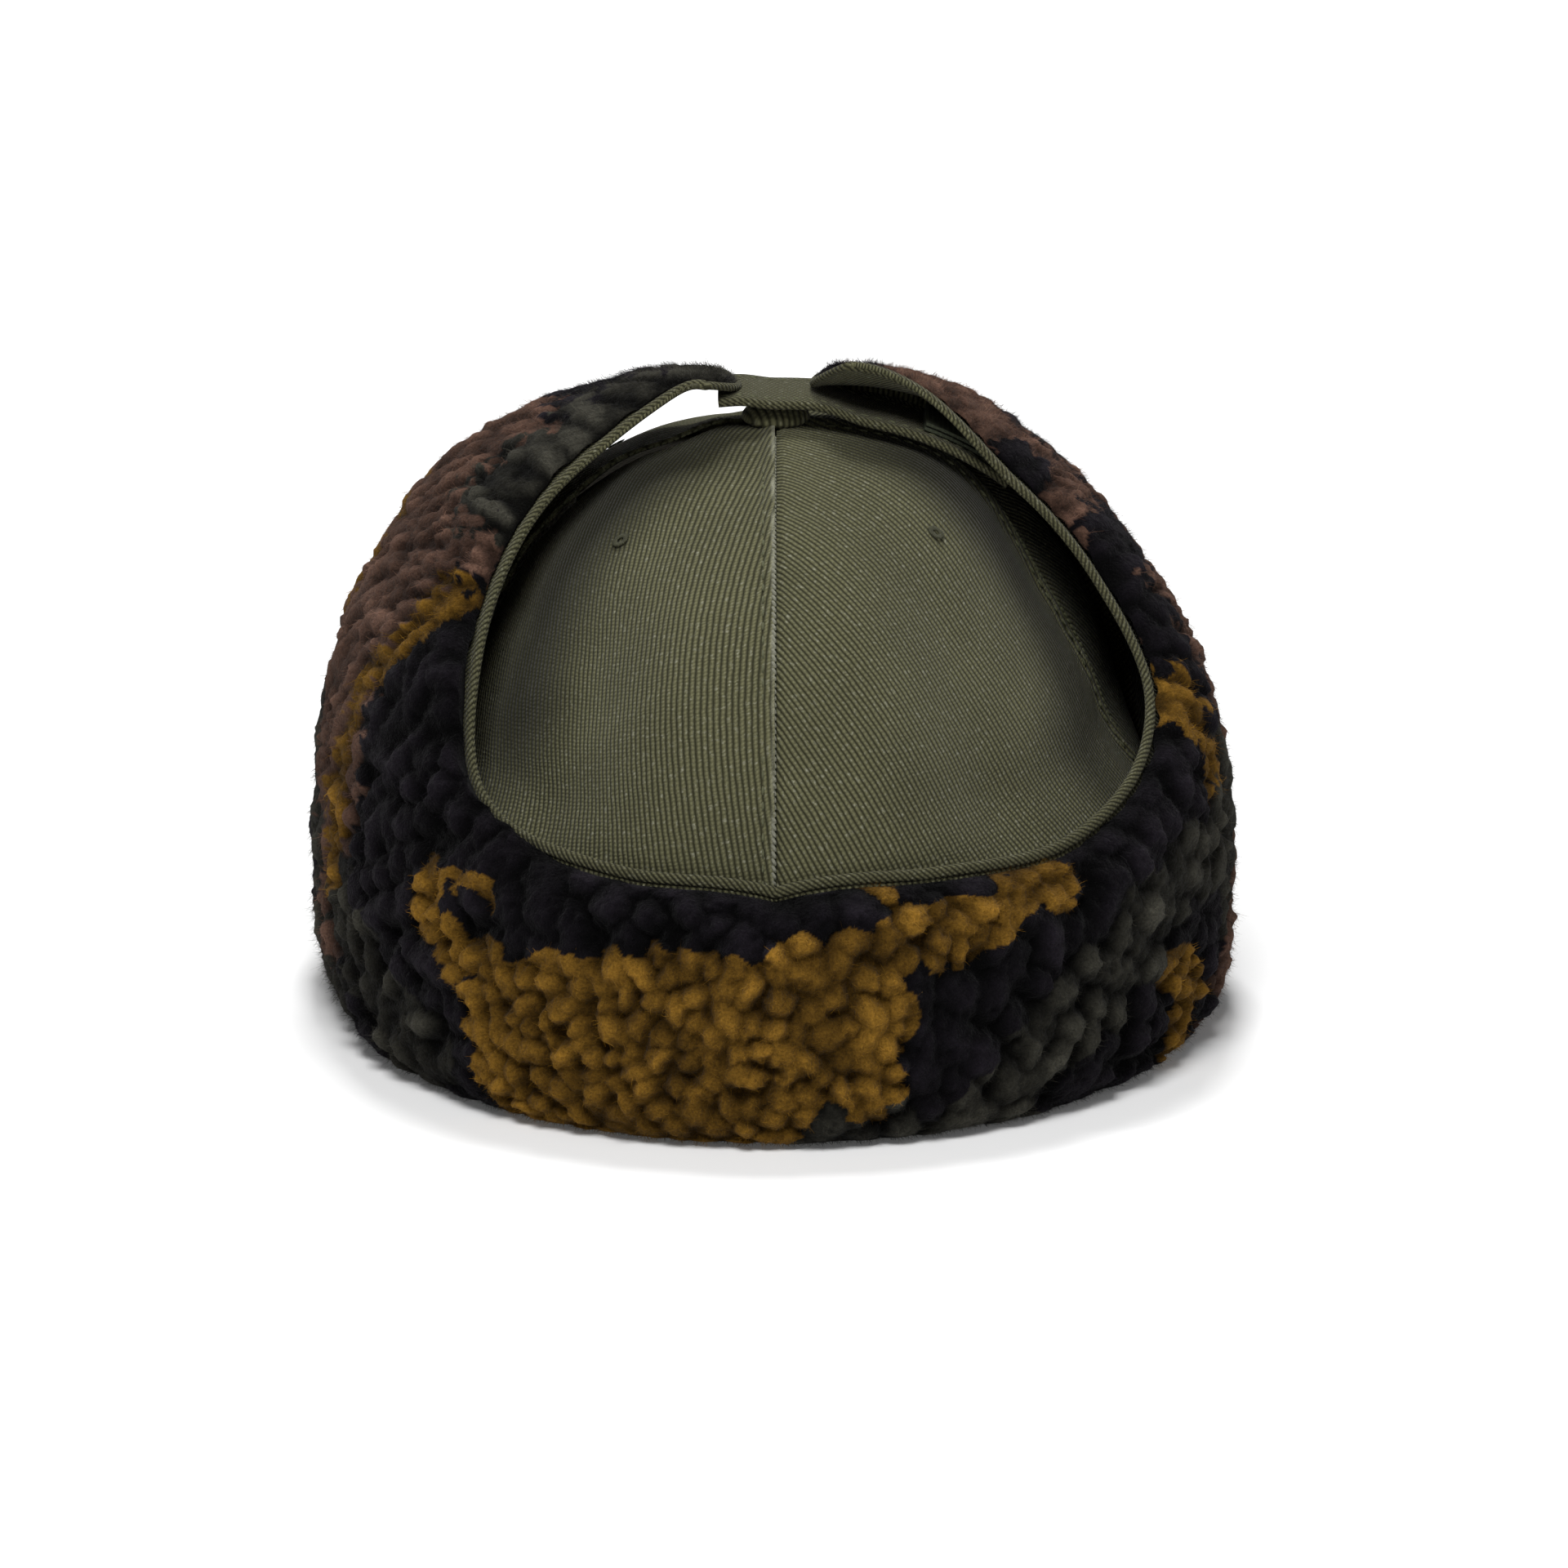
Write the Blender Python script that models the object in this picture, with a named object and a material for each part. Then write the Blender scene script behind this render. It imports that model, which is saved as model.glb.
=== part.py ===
"""A trapper hat: a four-panel twill crown with a visor, and a fleece-faced cuff turned up around it.

The cuff runs round the sides and back. Its two ears fold up over the crown, where a strap on the
left ear fastens under the right ear with hook and loop. Front is -Y, the wearer's left is +X.
"""

import math

import bmesh
import bpy
import numpy as np
from mathutils import Matrix, Vector

# Crown, measured on its outside
CROWN_HALF_WIDTH = 0.0865
CROWN_HALF_LENGTH = 0.105
CROWN_HEIGHT = 0.126
CROWN_FULLNESS = 2.35
RIM_HEIGHT = 0.006
PANEL_COUNT = 4
PANEL_THICKNESS = 0.0010
PANEL_BULGE = 0.0008
SEAM_GAP = 0.0004
CLEARANCE = 0.0003

# Layers inside the crown
BUCKRAM_THICKNESS = 0.0008
BUCKRAM_TOP_ROW = 3
TAPE_THICKNESS = 0.0006
TAPE_WIDTH = 0.018
TAPE_TOP_ROW = 0.25
SWEATBAND_THICKNESS = 0.0012
SWEATBAND_WIDTH = 0.032
SWEATBAND_BUTT_GAP = 0.0006

# Button and its rivet
BUTTON_RADIUS = 0.0075
BUTTON_HEIGHT = 0.0045
RIVET_RADIUS = 0.0014
RIVET_WASHER_RADIUS = 0.006
RIVET_WASHER_THICKNESS = 0.0008
RIVET_DEPTH_IN_BUTTON = 0.0018

# Stitched eyelets
EYELET_FROM_TOP = 0.062
EYELET_ANGLE = 40.0
EYELET_HOLE_RADIUS = 0.0021
EYELET_RING_RADIUS = 0.0036
EYELET_RING_THICKNESS = 0.0009
EYELET_THREAD = 0.0007

# Visor
VISOR_ROOT_GAP = 0.0005
VISOR_HALF_ANGLE = 56.0
VISOR_REACH = 0.068
VISOR_FLARE = 1.0
VISOR_ARCH = 0.006
VISOR_PITCH = 0.03
VISOR_BOARD_THICKNESS = 0.0016
VISOR_CLOTH_THICKNESS = 0.0007
VISOR_CLOTH_MARGIN = 0.0016

# Cuff: twill shell, fleece face, and the seam binding it hangs on
SHELL_THICKNESS = 0.0010
FLEECE_THICKNESS = 0.0095
FLEECE_SEAT_GAP = 0.0007
FLEECE_EDGE_SHARE = 0.38
FLEECE_EDGE_ROUND = 0.011
CUFF_RIM_GAP = 0.0006
CUFF_FLOOR_CLEARANCE = 0.0008
CUFF_TEMPLE_ANGLE = -27.0
CUFF_TEMPLE_SHARE = 0.60
NECK_SPLIT_Y = 0.055
SPLIT_GAP = 0.0006
BINDING_DEPTH = 0.0042

# The turned edge of the twill: (distance from the edge, height over the shell's inner face)
EDGE_ROLL = ((0.0, 0.0016), (0.0012, 0.0029), (0.0024, 0.0023), (0.0028, SHELL_THICKNESS))

# Ears: the U-shaped edge, from the back's middle to the ear's tip, as (degrees round from the
# wearer's side towards the back, height up the crown from its rim, stand-off from the crown)
BACK_EDGE_HEIGHT = 0.055
LEFT_EDGE = (
    (90, BACK_EDGE_HEIGHT, 0.0020),
    (70, BACK_EDGE_HEIGHT, 0.0020),
    (53, BACK_EDGE_HEIGHT + 0.004, 0.0030),
    (40, BACK_EDGE_HEIGHT + 0.016, 0.0050),
    (32, BACK_EDGE_HEIGHT + 0.036, 0.0075),
    (27, BACK_EDGE_HEIGHT + 0.058, 0.0090),
    (25, BACK_EDGE_HEIGHT + 0.080, 0.0095),
    (29, BACK_EDGE_HEIGHT + 0.100, 0.0092),
)
RIGHT_EDGE = (
    (90, BACK_EDGE_HEIGHT, 0.0020),
    (68, BACK_EDGE_HEIGHT - 0.001, 0.0020),
    (48, BACK_EDGE_HEIGHT - 0.001, 0.0045),
    (32, BACK_EDGE_HEIGHT + 0.004, 0.0085),
    (20, BACK_EDGE_HEIGHT + 0.018, 0.0100),
    (15, BACK_EDGE_HEIGHT + 0.042, 0.0085),
    (15, BACK_EDGE_HEIGHT + 0.068, 0.0080),
    (19, BACK_EDGE_HEIGHT + 0.090, 0.0090),
)
EAR_TIP_FROM_MIDDLE = 0.016
EAR_TIP_HALF_WIDTH = 0.013
EAR_TIP_ROUND = 0.007
EAR_FRONT_BOW = (0.070, -0.052)
LEFT_TIP_LIFT = 0.0088
RIGHT_TIP_LIFT = 0.0150
LEFT_FRONT_LIFT = 0.0050
RIGHT_FRONT_LIFT = 0.0080

# Strap and hook-and-loop patches
STRAP_WIDTH = 0.020
STRAP_THICKNESS = 0.0020
STRAP_END = -0.056
STRAP_LOW = 0.0030
PATCH_THICKNESS = 0.0008
PATCH_WIDTH = 0.016
PATCH_START = -0.034
PATCH_END = -0.053

# Facets
PANEL_COLUMNS = 12
PANEL_ROWS = 10
CUFF_COLUMNS = 52
CUFF_ROWS = 6
TURN_STEPS = 24
EYELET_STEPS = 10

TWILL = ("olive_twill", (0.085, 0.088, 0.045), 0.85, 0.0)
TAPE = ("seam_tape", (0.03, 0.032, 0.022), 0.80, 0.0)
STIFFENER = ("buckram", (0.62, 0.60, 0.52), 0.90, 0.0)
BAND = ("sweatband_cloth", (0.035, 0.037, 0.025), 0.85, 0.0)
BOARD = ("visor_board", (0.10, 0.10, 0.10), 0.50, 0.0)
FLEECE = ("camo_fleece", (0.11, 0.07, 0.03), 0.95, 0.0)
THREAD = ("eyelet_thread", (0.075, 0.080, 0.040), 0.70, 0.0)
RIVET = ("rivet_steel", (0.55, 0.55, 0.55), 0.40, 1.0)
HOOK_TAPE = ("hook_and_loop", (0.03, 0.035, 0.02), 0.90, 0.0)


def crown_outline(steps=400):
    """The crown's outline by length from its top: (length, share of radius, share of height)."""
    angle = np.linspace(0.0, math.pi / 2, steps)
    radius = np.sin(angle) ** (2 / CROWN_FULLNESS)
    height = np.cos(angle) ** (2 / CROWN_FULLNESS)
    mean_radius = (CROWN_HALF_WIDTH + CROWN_HALF_LENGTH) / 2
    step = np.hypot(np.diff(radius) * mean_radius, np.diff(height) * CROWN_HEIGHT)
    return np.concatenate([[0.0], np.cumsum(step)]), radius, height


OUTLINE = crown_outline()
CROWN_LENGTH = float(OUTLINE[0][-1])
STACK = PANEL_THICKNESS + CLEARANCE
TAPE_FACE = STACK + BUCKRAM_THICKNESS + CLEARANCE
BAND_FACE = TAPE_FACE + TAPE_THICKNESS + CLEARANCE


def radius_share(length):
    return float(np.interp(length, OUTLINE[0], OUTLINE[1]))


def surface(angle, length, lift=0.0):
    """A point over the crown: angle round it, length down from its top, lift off its outside."""
    round_share = radius_share(length)
    high_share = float(np.interp(length, OUTLINE[0], OUTLINE[2]))
    below_rim = max(0.0, length - CROWN_LENGTH)
    across = math.cos(angle) * round_share
    along = math.sin(angle) * round_share
    point = Vector((
        CROWN_HALF_WIDTH * across,
        CROWN_HALF_LENGTH * along,
        RIM_HEIGHT + CROWN_HEIGHT * high_share - below_rim,
    ))
    steepness = round_share ** (CROWN_FULLNESS - 2)
    normal = Vector((
        across * steepness / CROWN_HALF_WIDTH,
        along * steepness / CROWN_HALF_LENGTH,
        high_share ** (CROWN_FULLNESS - 1) / CROWN_HEIGHT,
    ))
    return point + normal.normalized() * lift


def over_crown(plan, lift):
    """The point over the crown at a plan position, whose length is the distance from the top."""
    return surface(math.atan2(plan.y, plan.x), plan.length, lift)


def polar(degrees, length):
    angle = math.radians(degrees)
    return Vector((math.cos(angle), math.sin(angle))) * length


def lerp(start, end, share):
    return start + (end - start) * share


def smooth_step(share):
    share = min(1.0, max(0.0, share))
    return share * share * (3 - 2 * share)


def through(points, share):
    """A smooth curve through the points, each a Vector, at a share from 0 to 1."""
    place = min(max(share, 0.0), 1.0) * (len(points) - 1)
    first = min(int(place), len(points) - 2)
    part = place - first
    a = points[max(first - 1, 0)]
    b = points[first]
    c = points[first + 1]
    d = points[min(first + 2, len(points) - 1)]
    return 0.5 * (
        2 * b
        + (c - a) * part
        + (2 * a - 5 * b + 4 * c - d) * part ** 2
        + (3 * b - a - 3 * c + d) * part ** 3
    )


def material(finish):
    name, colour, roughness, metallic = finish
    found = bpy.data.materials.get(name)
    if found:
        return found
    made = bpy.data.materials.new(name)
    made.use_nodes = True
    shader = made.node_tree.nodes["Principled BSDF"]
    shader.inputs["Base Color"].default_value = (*colour, 1.0)
    shader.inputs["Roughness"].default_value = roughness
    shader.inputs["Metallic"].default_value = metallic
    return made


def add_object(name, bm, finish, hinge=None):
    """The bmesh as a named object, faces outward, round surfaces smooth, hung on its hinge if any."""
    bmesh.ops.recalc_face_normals(bm, faces=bm.faces[:])
    if bm.calc_volume(signed=True) < 0:
        bmesh.ops.reverse_faces(bm, faces=bm.faces[:])
    mesh = bpy.data.meshes.new(name)
    bm.to_mesh(mesh)
    bm.free()
    mesh.shade_smooth()
    mesh.set_sharp_from_angle(angle=math.radians(40))
    mesh.materials.append(material(finish))
    made = bpy.data.objects.new(name, mesh)
    bpy.context.scene.collection.objects.link(made)
    if hinge:
        mesh.transform(Matrix.Translation(-hinge.location))
        made.parent = hinge
    return made


def make_hinge(name, side):
    """The line an ear folds on: under the cuff's fold, beside the crown's widest part."""
    hinge = bpy.data.objects.new(name, None)
    fold = surface(0.0, cuff_bottom(), CUFF_RIM_GAP)
    hinge.location = (side * fold.x, 0, fold.z - CUFF_FLOOR_CLEARANCE)
    hinge.empty_display_size = CROWN_HALF_WIDTH / 4
    bpy.context.scene.collection.objects.link(hinge)
    return hinge


def flat_sheet(columns, rows):
    """A sheet cut flat: a unit grid, with its second face one unit over the first."""
    bm = bmesh.new()
    bmesh.ops.create_grid(bm, x_segments=columns, y_segments=rows, size=0.5)
    second = bmesh.ops.extrude_face_region(bm, geom=bm.faces[:], use_keep_orig=True)
    raised = [item for item in second["geom"] if isinstance(item, bmesh.types.BMVert)]
    bmesh.ops.translate(bm, verts=raised, vec=(0, 0, 1))
    bmesh.ops.translate(bm, verts=bm.verts[:], vec=(0.5, 0.5, 0))
    return bm


def formed_sheet(columns, rows, place):
    """A flat sheet whose points place(u, v, face) puts over the crown; face 0 is the inner one."""
    bm = flat_sheet(columns, rows)
    for vert in bm.verts:
        vert.co = place(vert.co.x, vert.co.y, vert.co.z)
    return bm


def turned(profile, steps, closed):
    """A profile of (radius, height) points spun about Z; a closed one is a ring off the axis."""
    bm = bmesh.new()
    verts = [bm.verts.new((radius, 0, height)) for radius, height in profile]
    pairs = list(zip(verts, verts[1:]))
    if closed:
        pairs.append((verts[-1], verts[0]))
    edges = [bm.edges.new(pair) for pair in pairs]
    bmesh.ops.spin(
        bm, geom=verts + edges, axis=(0, 0, 1), cent=(0, 0, 0),
        angle=math.tau, steps=steps, use_merge=True,
    )
    bmesh.ops.remove_doubles(bm, verts=bm.verts[:], dist=1e-6)
    return bm


def panel_edge_inset(length):
    """Half the seam gap as an angle at this length from the top."""
    radius = radius_share(length) * (CROWN_HALF_WIDTH + CROWN_HALF_LENGTH) / 2
    return math.asin(min(0.9, SEAM_GAP / 2 / radius))


def panel_top():
    """The length from the crown's top at which the panels leave room for the rivet."""
    mean_radius = (CROWN_HALF_WIDTH + CROWN_HALF_LENGTH) / 2
    return float(np.interp((RIVET_RADIUS + CLEARANCE + SEAM_GAP) / mean_radius, OUTLINE[1], OUTLINE[0]))


def panel_row(share):
    return lerp(panel_top(), CROWN_LENGTH, share)


def panel_angle(number):
    """The middle of a panel, from the left back panel on, towards the front by the right."""
    return math.radians(45 + 360 / PANEL_COUNT * number)


def make_panel(name, number):
    half = math.pi / PANEL_COUNT

    def place(u, v, face):
        length = panel_row(v)
        angle = panel_angle(number) + (2 * u - 1) * (half - panel_edge_inset(length))
        bulge = PANEL_BULGE * math.sin(math.pi * u) * math.sin(math.pi * v)
        return surface(angle, length, bulge - (1 - face) * PANEL_THICKNESS)

    return add_object(name, formed_sheet(PANEL_COLUMNS, PANEL_ROWS, place), TWILL)


def eyelet_angle(number):
    """Eyelets sit a little nearer the wearer's side than the panel's middle."""
    angle = math.radians(EYELET_ANGLE)
    return (angle, math.pi - angle, math.pi + angle, -angle)[number]


def eyelet_frame(number):
    """The place and lie of an eyelet: Z out of the crown."""
    angle = eyelet_angle(number)
    seat = surface(angle, EYELET_FROM_TOP)
    normal = surface(angle, EYELET_FROM_TOP, 1.0) - seat
    return Matrix.Translation(seat) @ normal.to_track_quat("Z", "Y").to_matrix().to_4x4()


def make_eyelet(name, number, panel):
    """A thread ring on the panel, with a sleeve of thread down through the panel's hole."""
    cutter_mesh = bmesh.new()
    bmesh.ops.create_cone(
        cutter_mesh, cap_ends=True, segments=EYELET_STEPS,
        radius1=EYELET_HOLE_RADIUS, radius2=EYELET_HOLE_RADIUS, depth=12 * PANEL_THICKNESS,
    )
    cutter = add_object(name + "_hole", cutter_mesh, THREAD)
    cutter.matrix_world = eyelet_frame(number)
    cutter.hide_render = True
    cutter.display_type = "WIRE"
    hole = panel.modifiers.new("eyelet_hole", "BOOLEAN")
    hole.operation = "DIFFERENCE"
    hole.object = cutter

    sleeve = EYELET_HOLE_RADIUS - CLEARANCE
    seat = PANEL_BULGE + CLEARANCE
    top = seat + EYELET_RING_THICKNESS
    bore = sleeve - EYELET_THREAD
    foot = -PANEL_THICKNESS
    profile = (
        (bore, foot), (sleeve, foot), (sleeve, seat), (EYELET_RING_RADIUS, seat),
        (EYELET_RING_RADIUS, lerp(seat, top, 0.5)), (lerp(bore, EYELET_RING_RADIUS, 0.6), top),
        (bore, lerp(seat, top, 0.7)),
    )
    ring = add_object(name, turned(profile, EYELET_STEPS, closed=True), THREAD)
    ring.matrix_world = eyelet_frame(number)


def make_seam_tape(name, degrees, depth):
    """The tape over a seam's inside, from under the rivet's washer to the crown's rim."""
    angle = math.radians(degrees)
    start = TAPE_TOP_ROW / PANEL_ROWS

    def place(u, v, face):
        length = panel_row(max(start, v))
        radius = radius_share(length) * (CROWN_HALF_WIDTH + CROWN_HALF_LENGTH) / 2
        half = min(math.asin(min(1.0, TAPE_WIDTH / 2 / radius)), math.pi / PANEL_COUNT * 0.9)
        lift = -depth - (1 - face) * TAPE_THICKNESS
        return surface(angle + (2 * u - 1) * half, length, lift)

    add_object(name, formed_sheet(4, PANEL_ROWS, place), TAPE)


def make_buckram(name, number):
    """The stiffener behind a front panel."""
    half = math.pi / PANEL_COUNT

    def place(u, v, face):
        length = panel_row(lerp(BUCKRAM_TOP_ROW / PANEL_ROWS, 1.0, v))
        angle = panel_angle(number) + (2 * u - 1) * (half - panel_edge_inset(length))
        return surface(angle, length, -STACK - (1 - face) * BUCKRAM_THICKNESS)

    add_object(name, formed_sheet(PANEL_COLUMNS, PANEL_ROWS - BUCKRAM_TOP_ROW, place), STIFFENER)


def make_sweatband():
    """The band inside the rim; its two ends butt at the back seam."""
    butt = SWEATBAND_BUTT_GAP / 2 / CROWN_HALF_LENGTH

    def place(u, v, face):
        angle = math.pi / 2 + lerp(butt, math.tau - butt, u)
        length = CROWN_LENGTH - SWEATBAND_WIDTH * v
        return surface(angle, length, -BAND_FACE - (1 - face) * SWEATBAND_THICKNESS)

    add_object("sweatband", formed_sheet(PANEL_COUNT * PANEL_COLUMNS, 2, place), BAND)


def make_button():
    """The cloth-covered button on the crown's top, and the rivet that holds it."""
    seat = RIM_HEIGHT + CROWN_HEIGHT + CLEARANCE
    socket = RIVET_RADIUS + CLEARANCE
    socket_top = seat + RIVET_DEPTH_IN_BUTTON + CLEARANCE
    dome = [
        (BUTTON_RADIUS * math.cos(turn), seat + 0.0008 + (BUTTON_HEIGHT - 0.0008) * math.sin(turn))
        for turn in np.linspace(0, math.pi / 2, 6)
    ]
    dome[-1] = (0.0, seat + BUTTON_HEIGHT)
    profile = [(0.0, socket_top), (socket, socket_top), (socket, seat), (BUTTON_RADIUS * 0.9, seat), *dome]
    add_object("crown_button", turned(profile, TURN_STEPS, closed=False), TWILL)

    washer_top = RIM_HEIGHT + CROWN_HEIGHT - TAPE_FACE - TAPE_THICKNESS - CLEARANCE
    washer_foot = washer_top - RIVET_WASHER_THICKNESS
    shank_top = seat + RIVET_DEPTH_IN_BUTTON
    shank = [
        (0.0, washer_foot), (RIVET_WASHER_RADIUS, washer_foot), (RIVET_WASHER_RADIUS, washer_top),
        (RIVET_RADIUS, washer_top), (RIVET_RADIUS, shank_top), (0.0, shank_top),
    ]
    add_object("button_rivet", turned(shank, TURN_STEPS // 2, closed=False), RIVET)


def visor_point(u, v, margin):
    """The visor's middle surface: u across it, v from the crown to the edge, less a margin there."""
    side = 2 * u - 1
    angle = -math.pi / 2 + side * math.radians(VISOR_HALF_ANGLE)
    root = surface(angle, CROWN_LENGTH, VISOR_ROOT_GAP)
    forward = math.sqrt(max(0.0, math.cos(side * math.pi / 2)))
    reach = VISOR_REACH * forward - margin
    point = Vector((
        root.x * (1 + VISOR_FLARE * forward * v * reach / VISOR_REACH),
        root.y - reach * v,
        0.0,
    ))
    widest = CROWN_HALF_WIDTH * math.sin(math.radians(VISOR_HALF_ANGLE)) * (1 + VISOR_FLARE / 2)
    point.z = -VISOR_ARCH * (point.x / widest) ** 2 - VISOR_PITCH * reach * v
    return point


def visor_height():
    """How high the visor's middle line stands so that its lowest edge is level with the floor."""
    samples = [visor_point(step / 48, 1.0, 0.0).z for step in range(49)]
    half_stack = VISOR_BOARD_THICKNESS / 2 + CLEARANCE + VISOR_CLOTH_THICKNESS
    return half_stack - min(samples)


def make_visor():
    """A stiff board between an upper and an under cloth, which meet past the board's edge."""
    height = visor_height()
    half_board = VISOR_BOARD_THICKNESS / 2
    ends = 0.02

    def layer(low, high, margin):
        def place(u, v, face):
            across = lerp(ends, 1 - ends, u)
            point = visor_point(across, v, margin)
            point.z += height + lerp(low, high, face)
            return point

        return formed_sheet(24, 3, place)

    cloth = half_board + CLEARANCE
    add_object("visor_board", layer(-half_board, half_board, VISOR_CLOTH_MARGIN), BOARD)
    add_object("visor_upper_cloth", layer(cloth, cloth + VISOR_CLOTH_THICKNESS, 0.0), TWILL)
    add_object("visor_under_cloth", layer(-cloth - VISOR_CLOTH_THICKNESS, -cloth, 0.0), TWILL)


def ear_tip(side, end):
    """The corner of an ear's tip in plan: end 1 at its rear, -1 at its front."""
    return Vector((side * EAR_TIP_FROM_MIDDLE, end * EAR_TIP_HALF_WIDTH))


def cuff_bottom():
    """Length down from the crown's top to the cuff's fold, just over the floor."""
    return CROWN_LENGTH + RIM_HEIGHT - CUFF_FLOOR_CLEARANCE


def cuff_upper_edge(along):
    """The U-shaped edge: along -1 at the right ear's tip, 0 at the back, 1 at the left one's."""
    side = 1 if along >= 0 else -1
    stations = LEFT_EDGE if side > 0 else RIGHT_EDGE
    tip_lift = LEFT_TIP_LIFT if side > 0 else RIGHT_TIP_LIFT
    points = []
    for degrees, height, lift in stations:
        plan = polar(degrees, CROWN_LENGTH - height)
        points.append(Vector((side * plan.x, plan.y, lift)))
    points.append(Vector((*ear_tip(side, 1), tip_lift)))
    found = through(points, abs(along))
    return found.xy, found.z


def cuff_lower_edge(along):
    """The fold at the rim, then up the ear's front edge from the temple to the tip."""
    side = 1 if along >= 0 else -1
    tip_lift = LEFT_TIP_LIFT if side > 0 else RIGHT_TIP_LIFT
    front_lift = LEFT_FRONT_LIFT if side > 0 else RIGHT_FRONT_LIFT
    share = abs(along) / CUFF_TEMPLE_SHARE
    if share <= 1:
        plan = polar(lerp(90, CUFF_TEMPLE_ANGLE, share), cuff_bottom())
        return Vector((side * plan.x, plan.y)), CUFF_RIM_GAP
    up = (abs(along) - CUFF_TEMPLE_SHARE) / (1 - CUFF_TEMPLE_SHARE)
    temple = polar(CUFF_TEMPLE_ANGLE, cuff_bottom())
    bow = Vector(EAR_FRONT_BOW)
    tip = ear_tip(1, -1)
    plan = temple * (1 - up) ** 2 + bow * 2 * up * (1 - up) + tip * up ** 2
    middle = lerp(CUFF_RIM_GAP, front_lift, smooth_step(2 * up))
    return Vector((side * plan.x, plan.y)), lerp(middle, tip_lift, smooth_step(4 * up - 3))


def cuff_point(along, inset, outset, share, height):
    """A point on the cuff: share across it between its edges less the insets, height over its inner face."""
    upper, upper_lift = cuff_upper_edge(along)
    lower, lower_lift = cuff_lower_edge(along)
    width = (lower - upper).length
    across = lerp(inset / width, 1 - outset / width, share)
    plan = lerp(upper, lower, across)
    tip = smooth_step((abs(along) - 0.85) / 0.15)
    side = 1 if along >= 0 else -1
    plan = plan - Vector((side * EAR_TIP_ROUND * tip * (1 - (2 * across - 1) ** 2), 0))
    return over_crown(plan, lerp(upper_lift, lower_lift, across) + height)


def on_front_edge(along):
    return abs(along) > CUFF_TEMPLE_SHARE


def make_shell_sheet():
    """The cuff's twill, with its edge turned over into a roll along the U and the ears' fronts."""
    roll = len(EDGE_ROLL)
    rows = CUFF_ROWS + 2 * (roll - 1)

    def place(u, v, face):
        along = 2 * u - 1
        row = round(v * rows)
        rolled_front = on_front_edge(along)
        from_end = min(row, rows - row)
        height = SHELL_THICKNESS
        if from_end < roll:
            distance, rolled = EDGE_ROLL[from_end]
            inset = distance if row < rows / 2 else 0.0
            outset = distance if row > rows / 2 else 0.0
            share = 0.0 if row < rows / 2 else 1.0
            if row < rows / 2 or rolled_front:
                height = rolled
        else:
            inset = outset = EDGE_ROLL[-1][0]
            share = (row - roll + 1) / CUFF_ROWS
        return cuff_point(along, inset, outset, share, face * height)

    return formed_sheet(CUFF_COLUMNS, rows, place)


def fleece_loft(along, share):
    """How much of its full thickness the fleece has: less towards its edges and the ears' tips."""
    upper, _ = cuff_upper_edge(along)
    lower, _ = cuff_lower_edge(along)
    width = (lower - upper).length
    from_edge = min(share, 1 - share) * width
    from_tip = (1 - abs(along)) * 4 * CUFF_COLUMNS / 100 * CROWN_HALF_WIDTH
    depth = 1.0
    for distance in (from_edge, from_tip):
        near = 1 - min(1.0, distance / FLEECE_EDGE_ROUND)
        depth = min(depth, math.sqrt(1 - near * near))
    return lerp(FLEECE_EDGE_SHARE, 1.0, depth)


def make_fleece_sheet():
    """The fleece on the shell's outer face, inside its turned edge, rounded off all round."""
    margin = EDGE_ROLL[-1][0] + CLEARANCE
    foot = SHELL_THICKNESS + FLEECE_SEAT_GAP

    def place(u, v, face):
        along = 2 * u - 1
        share = 0.5 - 0.5 * math.cos(math.pi * v)
        outset = margin if on_front_edge(abs(along) + 2 / CUFF_COLUMNS) else 0.0
        height = foot + face * FLEECE_THICKNESS * fleece_loft(along, share)
        return cuff_point(along, margin, outset, share, height)

    return formed_sheet(CUFF_COLUMNS, CUFF_ROWS + 2, place)


def keep_side(bm, point, normal):
    """Cuts the sheet on a plane, keeps what lies behind the normal and closes the cut."""
    cut = bmesh.ops.bisect_plane(
        bm, geom=bm.verts[:] + bm.edges[:] + bm.faces[:], dist=1e-7,
        plane_co=point, plane_no=normal, clear_outer=True,
    )
    edges = [item for item in cut["geom_cut"] if isinstance(item, bmesh.types.BMEdge)]
    if edges:
        bmesh.ops.holes_fill(bm, edges=edges)


def make_cuff_layer(sheet, label, finish, left_hinge, right_hinge):
    """One layer of the cuff as three pieces: the neck band, and an ear each side of it."""
    ahead = NECK_SPLIT_Y - SPLIT_GAP / 2
    behind = NECK_SPLIT_Y + SPLIT_GAP / 2
    pieces = {
        "neck_" + label: (None, ((0, behind, 0), (0, -1, 0))),
        "left_ear_" + label: (left_hinge, ((0, ahead, 0), (0, 1, 0)), ((0, 0, 0), (-1, 0, 0))),
        "right_ear_" + label: (right_hinge, ((0, ahead, 0), (0, 1, 0)), ((0, 0, 0), (1, 0, 0))),
    }
    for name, (hinge, *cuts) in pieces.items():
        piece = sheet.copy()
        for point, normal in cuts:
            keep_side(piece, point, normal)
        add_object(name, piece, finish, hinge)
    sheet.free()


def make_seam_binding():
    """The bound seam under the crown's rim, from temple to temple, that the cuff folds on."""
    start = math.radians(CUFF_TEMPLE_ANGLE)
    top = CROWN_LENGTH + CLEARANCE
    foot = CROWN_LENGTH + RIM_HEIGHT

    def place(u, v, face):
        angle = lerp(start, math.pi - start, u)
        return surface(angle, lerp(foot, top, v), -(1 - face) * BINDING_DEPTH)

    add_object("cuff_seam_binding", formed_sheet(36, 1, place), TAPE)


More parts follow.
